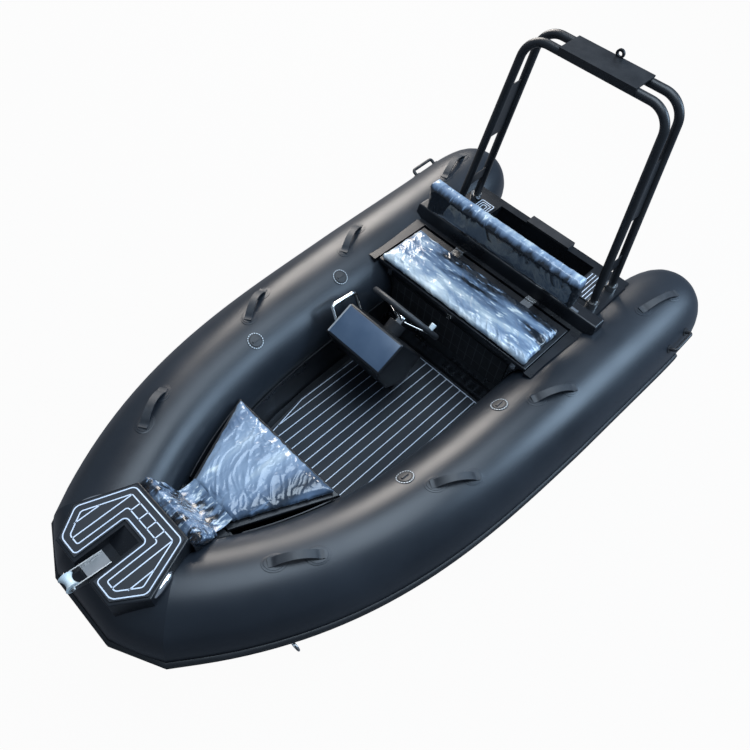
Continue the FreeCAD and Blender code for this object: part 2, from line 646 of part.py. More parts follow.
# Draw latches on the front of the locker.
latches = [block("latch%d" % index, ("seat_box_front", "seat_box_front + latch_depth"),
                 ("%s - latch_width / 2" % place, "%s + latch_width / 2" % place),
                 ("seat_box_height - latch_drop - latch_height", "seat_box_height - latch_drop"))
           for index, place in enumerate(("-latch_offset", "0", "latch_offset"))]
keep("seat_latches", fuse("seat_latches", *latches))

# The backrest pad stands on two bent brackets screwed to the ledge.
rest = block("backrest", ("backrest_front - backrest_thickness", "backrest_front"),
             ("-backrest_half_width", "backrest_half_width"),
             ("backrest_bottom", "backrest_bottom + backrest_height"))
doc.recompute()
keep("backrest", rounded("backrest", rest, "backrest_roll",
                         lambda edge: edge.BoundBox.ZMin > rest.Shape.BoundBox.Center.z))
back = "backrest_front - backrest_thickness - soft_gap"
bracket_points = [
    ("seat_wall_front - bracket_foot - bracket_thickness", "seat_wall_height"),
    ("seat_wall_front - bracket_thickness", "seat_wall_height"),
    (back, "backrest_bottom"), (back, "seat_wall_height + bracket_rise"),
    (back + " - bracket_thickness", "seat_wall_height + bracket_rise"),
    (back + " - bracket_thickness", "backrest_bottom"),
    ("seat_wall_front - 2 * bracket_thickness", "seat_wall_height + bracket_thickness"),
    ("seat_wall_front - bracket_foot - bracket_thickness", "seat_wall_height + bracket_thickness")]
brackets = [prism("bracket%d" % index, "XZ", bracket_points, "bracket_width", place)
            for index, place in enumerate(("-bracket_spacing", "bracket_spacing"))]
keep("backrest_brackets", fuse("backrest_brackets", *brackets))


# The arch: two hoops of bent tube that stand in sockets on the stern decks.
arch_foot = inner_face(S.arch_rear_foot, S.stern_deck_height) - S.arch_foot_inset


def hoop(foot_x, top_x):
    rise = V(top_x - foot_x, 0, S.arch_height - S.stern_deck_height)
    up = V(rise).normalize()
    foot = V(foot_x, 0, S.stern_deck_height) + up * S.arch_tube_radius * HALF_SHARE
    length = rise.Length - S.arch_tube_radius * HALF_SHARE
    lean = math.atan2(arch_foot - S.arch_top_half_width, length)
    turn = math.radians(90) - lean
    tangent = S.arch_bend_radius * math.tan(turn / 2)
    base, top = arch_foot, S.arch_top_half_width

    def place(y, s):
        return foot + up * s + V(0, y, 0)

    leg_y, leg_s = top + tangent * math.sin(lean), length - tangent * math.cos(lean)
    bar_y = top - tangent
    centre_s = length - S.arch_bend_radius
    mid_y = bar_y + S.arch_bend_radius * math.sin(turn / 2)
    mid_s = centre_s + S.arch_bend_radius * math.cos(turn / 2)
    edges = [
        Part.LineSegment(place(base, 0), place(leg_y, leg_s)).toShape(),
        Part.Arc(place(leg_y, leg_s), place(mid_y, mid_s), place(bar_y, length)).toShape(),
        Part.LineSegment(place(bar_y, length), place(-bar_y, length)).toShape(),
        Part.Arc(place(-bar_y, length), place(-mid_y, mid_s), place(-leg_y, leg_s)).toShape(),
        Part.LineSegment(place(-leg_y, leg_s), place(-base, 0)).toShape()]
    start = place(leg_y, leg_s) - place(base, 0)
    profile = Part.Wire([Part.makeCircle(S.arch_tube_radius, place(base, 0), start)])
    return Part.Wire(edges).makePipeShell([profile], True, False)


front_hoop = keep("arch_front_hoop", solid("front_hoop", hoop(S.arch_front_foot, S.arch_front_top)))
rear_hoop = keep("arch_rear_hoop", solid("rear_hoop", hoop(S.arch_rear_foot, S.arch_rear_top)))
sockets = []
for x in (S.arch_front_foot, S.arch_rear_foot):
    for side in (-1, 1):
        sockets.append(rod("socket", "arch_socket_radius", "arch_socket_height",
                           (x, side * arch_foot, S.stern_deck_height), (0, 0, 1)))
keep("arch_sockets", cut("arch_sockets", fuse("arch_sockets", *sockets), front_hoop, rear_hoop,
                         aft_port, aft_starboard))

# The light plate lies on both hoops, with a lifting eye at its aft edge.
plate_sides = ("-arch_plate_width / 2", "arch_plate_width / 2")
plate_top = "arch_height + arch_tube_radius + arch_plate_thickness"
arch_plate = block("arch_plate", ("arch_plate_aft", "arch_plate_aft + arch_plate_length"), plate_sides,
                   ("arch_height + arch_tube_radius", plate_top))
eye_z = S.arch_height + S.arch_tube_radius + S.arch_plate_thickness + S.eye_lift
eye_at = (S.arch_plate_aft, S.eye_offset, eye_z)
eye_disc = rod("eye_disc", "eye_radius", "eye_thickness", eye_at, (1, 0, 0))
eye_hole = rod("eye_hole", "eye_hole_radius", "3 * eye_thickness",
               (eye_at[0] - S.eye_thickness, eye_at[1], eye_at[2]), (1, 0, 0))
eye_low = block("eye_low", ("arch_plate_aft", "arch_plate_aft + eye_thickness"),
                ("eye_offset - eye_radius", "eye_offset + eye_radius"),
                ("arch_height", "arch_height + arch_tube_radius + arch_plate_thickness / 2"))
lip_aft = "arch_plate_aft + arch_plate_length"
lip = block("arch_lip", (lip_aft, lip_aft + " + lip_thickness"), plate_sides,
            (plate_top + " - lip_height", plate_top))
keep("arch_plate", fuse("arch_plate", arch_plate, lip, cut("eye", eye_disc, eye_hole, eye_low)))


# Plates welded between the legs of the two hoops on each side.
def leg_plate(side, low, high):
    corners = []
    for x_foot, x_top, z in ((S.arch_rear_foot, S.arch_rear_top, low),
                             (S.arch_front_foot, S.arch_front_top, low),
                             (S.arch_front_foot, S.arch_front_top, high),
                             (S.arch_rear_foot, S.arch_rear_top, high)):
        share = (z - S.stern_deck_height) / (S.arch_height - S.stern_deck_height)
        y = arch_foot + (S.arch_top_half_width - arch_foot) * share
        corners.append(V(x_foot + (x_top - x_foot) * share, side * (y - S.gusset_thickness / 2), z))
    face = Part.Face(Part.makePolygon(corners + corners[:1]))
    return face.extrude(V(0, side * S.gusset_thickness, 0))


plates = [leg_plate(side, low, high) for side in (-1, 1) for low, high in
          ((S.gusset_bottom, S.gusset_top), (S.brace_bottom, S.brace_top))]
gussets = solid("gusset_plates", Part.makeCompound(plates))
keep("arch_gussets", cut("arch_gussets", gussets, front_hoop, rear_hoop))

# The helm console: a leaning pod on a pedestal, offset to starboard.
console_points = [("console_aft_top", "console_top"), ("console_front_top", "console_front_top_height"),
                  ("console_front_foot", "console_front_foot_height"),
                  ("console_belly", "console_belly_height"),
                  ("console_aft_foot", "console_aft_foot_height")]
pod = prism("console", "XZ", console_points, "2 * console_half_width", "console_centre")
pod_edges = rounded("console", pod, "console_round", lambda edge: True)
pedestal = block("console_pedestal", ("pedestal_aft", "pedestal_front"),
                 ("console_centre - pedestal_half_width", "console_centre + pedestal_half_width"),
                 ("sole_top + pad_thickness", "console_front_foot_height"))
tilt = math.radians(S.helm_tilt)
helm_axis = V(-math.cos(tilt), 0, math.sin(tilt))
down = V(S.console_aft_foot - S.console_aft_top, 0,
         S.console_aft_foot_height - S.console_top).normalize()
helm_base = V(S.console_aft_top, S.console_centre, S.console_top) + down * S.helm_down
boss = rod("helm_boss", "helm_boss_radius", "helm_boss_length", helm_base, helm_axis)
boss_bore = rod("boss_bore", "shaft_radius + roller_clearance", "helm_boss_length",
                helm_base + helm_axis * (S.helm_boss_length - S.shaft_length - S.roller_clearance),
                helm_axis)
console = keep("console", fuse("console", pod_edges, pedestal))
keep("helm_boss", cut("helm_boss", boss, console, boss_bore))
panel = prism("console_panel", "XZ", [
    ("console_aft_top + console_corner", "console_top - console_slope * console_corner + soft_gap"),
    ("console_front_top - console_corner",
     "console_front_top_height + console_slope * console_corner + soft_gap"),
    ("console_front_top - console_corner",
     "console_front_top_height + console_slope * console_corner + console_panel_thickness"),
    ("console_aft_top + console_corner",
     "console_top - console_slope * console_corner + console_panel_thickness")],
    "2 * console_half_width - 2 * console_corner", "console_centre")
keep("console_panel", panel)

# The steering wheel: a rim, a dished hub and three pairs of spokes on a shaft that turns in the boss.
wheel_centre = helm_base + helm_axis * S.wheel_offset
rim = doc.addObject("Part::Torus", "wheel_rim")
rim.setExpression("Radius1", named("wheel_radius"))
rim.setExpression("Radius2", named("wheel_rim_radius"))
rim.Placement = FreeCAD.Placement(wheel_centre, FreeCAD.Rotation(V(0, 0, 1), helm_axis))
keep("wheel_rim", rim)
hub_base = helm_base + helm_axis * (S.helm_boss_length + S.roller_clearance)
hub = rod("wheel_hub", "hub_radius", "hub_length", hub_base, helm_axis)
shaft = rod("wheel_shaft", "shaft_radius", "shaft_length", hub_base - helm_axis * S.shaft_length, helm_axis)
across = V(0, 1, 0)
upward = helm_axis.cross(across) * -1
spokes = []
for angle in (90, 210, 330):
    out = across * math.cos(math.radians(angle)) + upward * math.sin(math.radians(angle))
    beside = helm_axis.cross(out)
    for side in (-1, 1):
        start = hub_base + helm_axis * S.hub_length * HALF_SHARE + beside * side * S.spoke_gap * HALF_SHARE
        end = wheel_centre + out * S.wheel_radius + beside * side * S.spoke_gap
        spokes.append(solid("spoke", Part.makeCylinder(S.spoke_radius, (end - start).Length, start,
                                                       end - start)))
keep("wheel_spokes", cut("wheel_spokes", fuse("wheel_spokes", hub, shaft, *spokes), rim))


def pipe(points, size, bend):
    """Round bar through the points, its corners bent to one radius."""
    edges, start = [], points[0]
    for before, at, after in zip(points, points[1:], points[2:]):
        back_way, on_way = (before - at).normalize(), (after - at).normalize()
        half = back_way.getAngle(on_way) / 2
        reach = bend / math.tan(half)
        enter, leave = at + back_way * reach, at + on_way * reach
        middle = at + (back_way + on_way).normalize() * (bend / math.sin(half) - bend)
        edges += [Part.LineSegment(start, enter).toShape(), Part.Arc(enter, middle, leave).toShape()]
        start = leave
    edges.append(Part.LineSegment(start, points[-1]).toShape())
    profile = Part.Wire([Part.makeCircle(size, points[0], points[1] - points[0])])
    return Part.Wire(edges).makePipeShell([profile], True, False)


rail_y = S.console_centre - S.console_half_width
rail_out = rail_y - S.rail_stand_off
rail_points = [V(S.rail_foot, rail_y + S.rail_tube_radius, S.rail_foot_height),
               V(S.rail_front, rail_out, S.rail_height), V(S.rail_aft, rail_out, S.rail_aft_height),
               V(S.rail_aft, rail_y + S.rail_tube_radius, S.rail_aft_foot_height)]
rail_bar = solid("rail_bar", pipe(rail_points, S.rail_tube_radius, S.rail_bend))
keep("grab_rail", biggest("grab_rail", cut("grab_rail", rail_bar, console)))

# The bow step: an eight-sided moulding over the collar, with a slot for the anchor line.
step_half = [("step_rear", "step_rear_half_width"), ("step_side", "step_side_half_width"),
             ("step_front", "step_front_half_width")]
step_outline = step_half + [(x, "-" + y) for x, y in reversed(step_half)]
step_block = prism("bow_step", "XY", step_outline, "step_top - step_bottom",
                   "(step_top + step_bottom) / 2")
step_edges = rounded("bow_step", step_block, "step_round",
                     lambda edge: edge.BoundBox.ZMin > S.step_top - S.seam_gap)
slot = prism("bow_slot", "XZ", [
    ("slot_rear", "step_top - slot_lip"), ("slot_rear + slot_ramp", "slot_floor"),
    ("step_front + slot_half_width", "slot_floor"),
    ("step_front + slot_half_width", "step_top + slot_half_width"),
    ("slot_rear", "step_top + slot_half_width")], "2 * slot_half_width")
bow_step = keep("bow_step", cut("bow_step", step_edges, slot, fore_port, fore_starboard, bow_tool))
pad_half = [("step_rear + step_pad_inset", "step_rear_half_width - step_pad_inset / 2"),
            ("step_side", "step_side_half_width - step_pad_inset"),
            ("step_front - step_pad_inset", "step_front_half_width - step_pad_inset / 2")]
step_pad = prism("bow_step_pad", "XY", pad_half + [(x, "-(%s)" % y) for x, y in reversed(pad_half)],
                 "pad_thickness", "step_top + pad_thickness / 2")
slot_pad = block("slot_pad", ("slot_rear - step_pad_inset", "step_front + slot_half_width"),
                 ("-slot_half_width - step_pad_inset", "slot_half_width + step_pad_inset"),
                 ("step_top - pad_thickness", "step_top + slot_half_width"))
keep("bow_step_pad", cut("bow_step_pad", step_pad, slot_pad))

# The bow roller turns on a pin between the cheeks of a steel channel in the slot.
channel = []
cheek_points = [("channel_rear", "slot_floor"), ("step_front", "slot_floor"),
                ("roller_x", "roller_z - cheek_radius"), ("roller_x", "roller_z + cheek_radius"),
                ("channel_rear", "slot_floor + channel_height")]
for side in ("-", ""):
    place = "%s(channel_half_width - channel_wall / 2)" % side
    channel.append(prism("cheek_port" if side else "cheek_starboard", "XZ", cheek_points,
                         "channel_wall", place))
    y = (-1 if side else 1) * (S.channel_half_width - S.channel_wall / 2) - S.channel_wall / 2
    channel.append(rod("cheek_nose", "cheek_radius", "channel_wall", (S.roller_x, y, S.roller_z), (0, 1, 0)))
channel.append(block("channel_base", ("channel_rear", "channel_front"),
                     ("-channel_half_width", "channel_half_width"),
                     ("channel_deck", "channel_deck + channel_wall")))
channel.append(rod("roller_pin", "roller_pin_radius", "2 * channel_half_width + 2 * pin_overhang",
                   (S.roller_x, -S.channel_half_width - S.pin_overhang, S.roller_z), (0, 1, 0)))
keep("bow_channel", cut("bow_channel", fuse("bow_channel", *channel), bow_step, bow_tool))
half = S.roller_half_width
outline = [V(S.roller_pin_radius + S.roller_clearance, -half, 0), V(S.roller_radius, -half, 0),
           V(S.roller_waist, 0, 0), V(S.roller_radius, half, 0),
           V(S.roller_pin_radius + S.roller_clearance, half, 0)]
waist = Part.Arc(outline[1], outline[2], outline[3]).toShape()
profile = Part.Wire([Part.makeLine(outline[0], outline[1]), waist, Part.makeLine(outline[3], outline[4]),
                     Part.makeLine(outline[4], outline[0])])
roller = Part.Face(profile).revolve(V(0, 0, 0), V(0, 1, 0), 360)
keep("bow_roller", solid("bow_roller", roller, V(S.roller_x, 0, S.roller_z)))


# Side lights on the slanting faces of the bow step.
def side_light(side):
    x = S.light_station
    share = (x - S.step_rear) / (S.step_side - S.step_rear)
    y = S.step_rear_half_width + (S.step_side_half_width - S.step_rear_half_width) * share
    angle = math.degrees(math.atan2(S.step_side_half_width - S.step_rear_half_width,
                                    S.step_side - S.step_rear))
    item = doc.addObject("Part::Ellipsoid", "light")
    item.setExpression("Radius1", named("light_height / 2"))
    item.setExpression("Radius2", named("light_length / 2"))
    item.setExpression("Radius3", named("light_depth"))
    item.Placement = FreeCAD.Placement(V(x, side * y, S.step_top - S.light_drop),
                                       FreeCAD.Rotation(V(0, 0, 1), side * angle))
    return item


keep("side_lights", cut("side_lights", fuse("side_lights", side_light(1), side_light(-1)), bow_step))

# The bow locker: a hollow box between the tubes with a hinged lid and cushion.
bulkhead_points = [
    ("locker_front + lid_gap", "locker_front_foot"), ("locker_front + lid_gap", "locker_top + lid_thickness"),
    ("bolster_foot + bolster_thickness", "locker_top + lid_thickness"),
    ("step_rear - soft_gap", "bolster_top_height"), ("step_rear", "bolster_top_height"),
    ("step_rear", "locker_front_foot")]
bulkhead_block = prism("bow_bulkhead", "XZ", bulkhead_points, "2 * bolster_half_width")
bulkhead = keep("bow_bulkhead", cut("bow_bulkhead", bulkhead_block, fore_port, fore_starboard, bow_tool, *flanks))


def locker_plan(inset, low, high):
    grow = S.locker_front - S.locker_aft
    aft = S.locker_aft_half_width + S.locker_flare
    front = S.locker_front_half_width + S.locker_flare / 2
    rise = (front - aft) / grow
    return plan([(S.locker_aft + inset, aft - inset + rise * inset),
                 (S.locker_front - inset, front - inset - rise * inset)], low, high)


locker_outer = solid("locker_outer", locker_plan(0.0, S.sole_top, S.locker_top))
locker_inner = solid("locker_inner", locker_plan(S.locker_wall, S.locker_inner_floor,
                                                 S.locker_top + S.locker_wall))
locker_space = cut("locker_space", locker_inner, fore_thick, fore_thick_twin)
keep("bow_locker", biggest("bow_locker", cut("bow_locker", locker_outer, locker_space, fore_port,
                                               fore_starboard, sole, hull, *flanks)))
lid_outline = [("locker_aft - lid_overhang", "lid_aft_half_width"),
               ("locker_front - lid_gap / 2", "lid_front_half_width")]
lid_outline += [(x, "-" + y) for x, y in reversed(lid_outline)]
bow_lid = prism("bow_lid", "XY", lid_outline, "lid_thickness", "locker_top + lid_thickness / 2")
doc.recompute()
keep("bow_lid", rounded("bow_lid", bow_lid, "bow_lid_round",
                        lambda edge: edge.BoundBox.ZMin > bow_lid.Shape.BoundBox.Center.z))
bow_cushion_outline = [("locker_aft", "lid_aft_half_width - cushion_border"),
                       ("locker_front - cushion_border - hinge_leaf / 4",
                        "lid_front_half_width - cushion_border / 2")]
bow_cushion_outline += [(x, "-(%s)" % y) for x, y in reversed(bow_cushion_outline)]
bow_cushion = prism("bow_cushion", "XY", bow_cushion_outline, "bow_cushion_thickness",
                    "locker_top + lid_thickness + soft_gap + bow_cushion_thickness / 2")
doc.recompute()
keep("bow_cushion", rounded("bow_cushion", bow_cushion, "bow_cushion_thickness / 3",
                            lambda edge: edge.BoundBox.ZMin > bow_cushion.Shape.BoundBox.Center.z))
hinge("bow_hinge", S.locker_front, S.locker_top + S.lid_thickness + S.hinge_barrel_radius,
      (-S.bow_hinge_spacing, S.bow_hinge_spacing), S.hinge_barrel_length, S.bow_lid_leaf,
      S.bow_fixed_leaf, -1)

# The bolster leans on the bulkhead's slope, against the bow step.
slope = V(S.step_rear - S.bolster_foot - S.bolster_thickness, 0,
          S.bolster_top_height - S.locker_top - S.lid_thickness)
slope_way = V(slope).normalize()
face_way = V(-slope_way.z, 0, slope_way.x)
foot = V(S.bolster_foot + S.bolster_thickness, 0, S.locker_top + S.lid_thickness) + face_way * S.soft_gap
foot = foot + slope_way * S.bolster_lift
bolster = doc.addObject("Part::Box", "bolster_block")
bolster.setExpression("Length", named("bolster_length"))
bolster.setExpression("Width", named("2 * bolster_half_width"))
bolster.setExpression("Height", named("bolster_thickness"))
bolster.Placement = FreeCAD.Placement(foot - V(0, S.bolster_half_width, 0),
                                      FreeCAD.Rotation(slope_way, V(0, 1, 0), face_way, "XZY"))
keep("bow_bolster", cut("bow_bolster", bolster, fore_port, fore_starboard, bow_step))


# A point on the port tube at a station and an angle outboard of its crown.
def on_tube(x, degrees, lift=0.0):
    turn = math.radians(degrees)
    out = V(math.sin(heading(x)), math.cos(heading(x)), 0)
    away = out * math.sin(turn) + V(0, 0, 1) * math.cos(turn)
    return V(x, axis_y(x), axis_z(x)) + away * (radius(x) + lift), away


def strap_handle(front_x, rear_x, rear_turn):
    """A webbing strap between two oval patches on the tube."""
    front, front_away = on_tube(front_x, S.handle_front_angle)
    rear, rear_away = on_tube(rear_x, S.handle_rear_angle * rear_turn)
    way = (rear - front).normalize()
    length = (rear - front).Length
    side = (front_away + rear_away).cross(way).normalize()
    up = way.cross(side)
    rise, thick = S.handle_rise, S.handle_thickness
    outer = Part.Arc(V(0, 0, 0), V(length / 2, 0, rise + thick), V(length, 0, 0)).toShape()
    inner = Part.Arc(V(length - 2 * thick, 0, 0), V(length / 2, 0, rise), V(2 * thick, 0, 0)).toShape()
    ends = [Part.makeLine(V(length, 0, 0), V(length - 2 * thick, 0, 0)),
            Part.makeLine(V(2 * thick, 0, 0), V(0, 0, 0))]
    strap = Part.Face(Part.Wire([outer, ends[0], inner, ends[1]])).extrude(V(0, S.handle_width, 0))
    strap.translate(V(0, -S.handle_width / 2, 0))
    ovals = []
    for at in (thick, length - thick):
        low = V(at, 0, -4 * S.patch_thickness)
        oval = Part.Ellipse(low + V(S.patch_length / 2, 0, 0), low + V(0, S.patch_width / 2, 0), low)
        face = Part.Face(Part.Wire([oval.toShape()]))
        ovals.append(face.extrude(V(0, 0, 5 * S.patch_thickness)))
    piece = strap.fuse(ovals)
    piece.Placement = FreeCAD.Placement(front, FreeCAD.Rotation(way, side, up, "XZY"))
    room = S.patch_length
    pieces = piece.cut(trimmer(rear_x - room, front_x + room, S.trim_gap)).Solids
    return sorted(pieces, key=lambda item: -item.Volume)[0]


def both_sides(shapes):
    return shapes, [shape.mirror(V(0, 0, 0), V(0, 1, 0)) for shape in shapes]


handle_places = [(S.handle_station + S.handle_pitch * share,
                  S.handle_station + S.handle_pitch * share - S.handle_length * reach, turn)
                 for share, reach, turn in zip(HANDLE_SHARES, HANDLE_REACH_SHARES, HANDLE_TURN_SHARES)]
straps, strap_twins = both_sides([strap_handle(*place) for place in handle_places])
keep("handles_port", solid("handles_port", Part.makeCompound(straps)))
keep("handles_starboard", solid("handles_starboard", Part.makeCompound(strap_twins)))


def disc_on_tube(x, degrees, size, rise):
    at, away = on_tube(x, degrees, -rise)
    disc = Part.makeCylinder(size, 2 * rise, at, away)
    return disc.cut(trimmer(x - S.trim_room, x + S.trim_room, S.trim_gap))


valve_size = S.valve_radius + S.valve_ring_width
valves, valve_twins = both_sides([disc_on_tube(x, -S.valve_angle, valve_size, S.valve_height)
                                  for x in (S.valve_front, S.valve_rear)])
keep("valves", solid("valves", Part.makeCompound(valves + valve_twins)))


# Rigid carry handles near the stern: a bent bar on two feet.
def carry_handle():
    front, front_away = on_tube(S.carry_station + S.carry_length / 2, S.carry_angle)
    rear, rear_away = on_tube(S.carry_station - S.carry_length / 2, S.carry_angle)
    sunk = S.carry_radius
    points = [front - front_away * sunk, front + front_away * S.carry_rise,
              rear + rear_away * S.carry_rise, rear - rear_away * sunk]
    bar = pipe(points, S.carry_radius, S.carry_foot)
    for at, away in ((front, front_away), (rear, rear_away)):
        bar = bar.fuse(Part.makeCylinder(S.carry_pad / 2, 2 * sunk, at - away * S.carry_foot, away))
    room = S.carry_length
    return bar.cut(trimmer(S.carry_station - room, S.carry_station + room, S.trim_gap))


carry, carry_twin = both_sides([carry_handle()])
keep("carry_handles", solid("carry_handles", Part.makeCompound(carry + carry_twin)))


# Towing rings low on the bow: a ring through a patch.
def tow_ring(x, degrees):
    at, away = on_tube(x, degrees, -S.ring_wire)
    patch = Part.makeCylinder(S.ring_patch / 2, 2 * S.ring_wire, at, away)
    wire = Part.makeTorus(S.ring_radius, S.ring_wire, at + away * (S.ring_radius + S.ring_wire), V(1, 0, 0))
    return patch.fuse(wire).cut(trimmer(x - S.trim_room, x + S.trim_room, S.trim_gap))


rings, ring_twins = both_sides([tow_ring(S.ring_station, S.ring_angle)])
keep("tow_rings", solid("tow_rings", Part.makeCompound(rings + ring_twins)))

doc.recompute()
bad = [item.Name for item in doc.Objects if "Invalid" in item.State or "Error" in item.State]
for node, item in made.items():
    shape = item.Shape
    if shape.isNull() or not shape.isValid() or not shape.Solids:
        bad.append(node)
if bad:
    raise SystemExit("not built: " + ", ".join(bad))
os.makedirs("parts", exist_ok=True)
for node, item in made.items():
    item.Shape.exportStep(os.path.join("parts", node + ".step"))
print(len(made), "sub-parts")
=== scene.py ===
import json
import math

import bmesh
import bpy
from mathutils import Matrix, Vector, noise


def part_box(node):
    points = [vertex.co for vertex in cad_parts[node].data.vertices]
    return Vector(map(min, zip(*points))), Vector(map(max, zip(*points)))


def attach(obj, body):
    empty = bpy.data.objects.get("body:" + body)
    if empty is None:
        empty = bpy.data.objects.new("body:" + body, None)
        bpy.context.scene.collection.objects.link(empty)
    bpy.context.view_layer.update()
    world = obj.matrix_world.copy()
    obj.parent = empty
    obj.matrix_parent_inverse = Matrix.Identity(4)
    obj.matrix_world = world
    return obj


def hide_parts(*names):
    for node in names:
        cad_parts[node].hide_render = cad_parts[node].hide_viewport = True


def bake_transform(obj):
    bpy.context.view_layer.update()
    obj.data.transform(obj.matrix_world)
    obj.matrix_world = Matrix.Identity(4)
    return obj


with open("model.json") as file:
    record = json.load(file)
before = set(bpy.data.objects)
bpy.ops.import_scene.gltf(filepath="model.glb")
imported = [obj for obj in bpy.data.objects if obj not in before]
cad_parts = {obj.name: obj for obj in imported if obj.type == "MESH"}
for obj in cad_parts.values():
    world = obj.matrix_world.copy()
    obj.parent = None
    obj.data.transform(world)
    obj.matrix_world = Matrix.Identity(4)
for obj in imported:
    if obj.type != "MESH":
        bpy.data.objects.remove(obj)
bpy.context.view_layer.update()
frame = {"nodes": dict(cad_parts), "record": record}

scene = bpy.context.scene
boat = scene.collection

# The camera stands high off the port bow and looks down along the boat, as in the photograph.
# The three angles and the place were solved from the boat's own symmetry and known sizes.
camera_place = Vector((2.778, 1.131, 2.982))
camera_azimuth, camera_elevation, camera_roll = math.radians(218.5), math.radians(54.575), math.radians(7.595)
camera_lens, sensor_width = 33.09, 36
forward = Vector((math.cos(camera_elevation) * math.cos(camera_azimuth),
                  math.cos(camera_elevation) * math.sin(camera_azimuth), -math.sin(camera_elevation)))
level = Vector((math.sin(camera_azimuth), -math.cos(camera_azimuth), 0))
raised = level.cross(forward)
right = level * math.cos(camera_roll) + raised * math.sin(camera_roll)
upward = raised * math.cos(camera_roll) - level * math.sin(camera_roll)
camera = bpy.data.objects.new("camera", bpy.data.cameras.new("camera"))
camera.data.lens, camera.data.sensor_width = camera_lens, sensor_width
camera_axes = Matrix((right, upward, -forward)).transposed().to_4x4()
camera.matrix_world = Matrix.Translation(camera_place) @ camera_axes
boat.objects.link(camera)
scene.camera = camera
scene.view_settings.view_transform = "Standard"


# The studio: a white floor at the waterline, a pale world and large soft lamps overhead.
# The floor is lit white for the camera but keeps the boat's shadow, and is clear from below.
floor_size, floor_glow, floor_bounce = 60.0, 0.965, (0.2, 0.2, 0.21, 1)
pure_white, world_pale, pale_strength = (1, 1, 1, 1), (0.62, 0.78, 1.0, 1), 0.3
lamp_aim = Vector((1.2, 0, 0.3))
lamps = [
    ("overhead_cool", (0.6, 0.4, 4.8), 3.2, 190, (0.72, 0.86, 1.0)),
    ("starboard_warm", (-2.0, -4.4, 3.4), 3.0, 330, (1.0, 0.93, 0.86)),
    ("port_blue", (-2.6, 3.6, 3.6), 2.6, 220, (0.55, 0.76, 1.0)),
]
world = bpy.data.worlds.new("studio")
scene.world = world
world.use_nodes = True
world.node_tree.nodes.clear()


def node(tree, kind, settings=(), inputs=()):
    """Adds a shader node, sets its properties, and fills or links its inputs by name."""
    made = tree.nodes.new(kind)
    for name, value in dict(settings).items():
        setattr(made, name, value)
    for name, value in dict(inputs).items():
        if isinstance(value, bpy.types.NodeSocket):
            tree.links.new(value, made.inputs[name])
        else:
            made.inputs[name].default_value = value
    return made


tree = world.node_tree
rays = node(tree, "ShaderNodeLightPath")
white = node(tree, "ShaderNodeBackground", inputs={"Color": pure_white, "Strength": 1.0})
pale = node(tree, "ShaderNodeBackground", inputs={"Color": world_pale, "Strength": pale_strength})
blend = node(tree, "ShaderNodeMixShader", inputs={0: rays.outputs["Is Camera Ray"], 1: pale.outputs[0],
                                                  2: white.outputs[0]})
tree.links.new(blend.outputs[0], node(tree, "ShaderNodeOutputWorld").inputs["Surface"])

floor_material = bpy.data.materials.new("floor_white")
floor_material.use_nodes = True
tree = floor_material.node_tree
tree.nodes.clear()
matt = node(tree, "ShaderNodeBsdfDiffuse", inputs={"Color": floor_bounce})
glow = node(tree, "ShaderNodeEmission", inputs={"Color": pure_white, "Strength": 1.0})
rays = node(tree, "ShaderNodeLightPath")
share = node(tree, "ShaderNodeMath", {"operation": "MULTIPLY"}, {0: rays.outputs["Is Camera Ray"],
                                                                 1: floor_glow})
lit = node(tree, "ShaderNodeMixShader", inputs={0: share.outputs[0], 1: matt.outputs[0], 2: glow.outputs[0]})
clear = node(tree, "ShaderNodeBsdfTransparent")
side = node(tree, "ShaderNodeNewGeometry")
both = node(tree, "ShaderNodeMixShader", inputs={0: side.outputs["Backfacing"], 1: lit.outputs[0],
                                                 2: clear.outputs[0]})
tree.links.new(both.outputs[0], node(tree, "ShaderNodeOutputMaterial").inputs["Surface"])
shape = bmesh.new()
bmesh.ops.create_grid(shape, x_segments=1, y_segments=1, size=floor_size / 2)
floor_mesh = bpy.data.meshes.new("floor")
shape.to_mesh(floor_mesh)
floor_mesh.materials.append(floor_material)
floor = bpy.data.objects.new("floor", floor_mesh)
boat.objects.link(floor)
for name, place, size, power, colour in lamps:
    lamp = bpy.data.objects.new(name, bpy.data.lights.new(name, "AREA"))
    lamp.data.energy, lamp.data.size, lamp.data.color = power, size, colour
    aim = lamp_aim - Vector(place)
    lamp.matrix_world = Matrix.Translation(place) @ aim.to_track_quat("-Z", "Y").to_matrix().to_4x4()
    boat.objects.link(lamp)


# The collar: three air chambers welded from sheets of satin coated fabric, black with a cold sheen painted
# into its colour.
# Each side chamber curves in to the bow and ends aft in a round cone; a cross chamber joins them.
tube_radius, bow_radius, half_spacing, axis_height = 0.239, 0.209, 0.648, 0.275
toe_in, bend_start, bow_axis, bow_inset, bow_rise, bow_flat = 0.078, 0.868, 2.640, 0.392, 0.112, 0.112
cone_start, cone_length, cone_rise, bend_power = 0.300, 0.597, 0.056, 3.33
cone_power, cone_root, cone_end_share, corner_share = 4, 3, 0.985, 0.98
cone_rings, side_rings, bow_rings, collar_crease = 14, 46, 6, 50
# The blue in the black is partly the fabric's own and partly painted sky reflection; the paler second colour
# is painted sheen.
fabric_black, fabric_painted_sheen = (0.010, 0.0135, 0.019), (0.018, 0.023, 0.031)


def group_tree(name, inputs, outputs):
    """An empty shader node group with named inputs and outputs."""
    made = bpy.data.node_groups.new(name, "ShaderNodeTree")
    for title, kind, value in inputs:
        socket = made.interface.new_socket(title, in_out="INPUT", socket_type=kind)
        if value is not None:
            socket.default_value = value
    for title, kind in outputs:
        made.interface.new_socket(title, in_out="OUTPUT", socket_type=kind)
    return made, node(made, "NodeGroupInput"), node(made, "NodeGroupOutput")
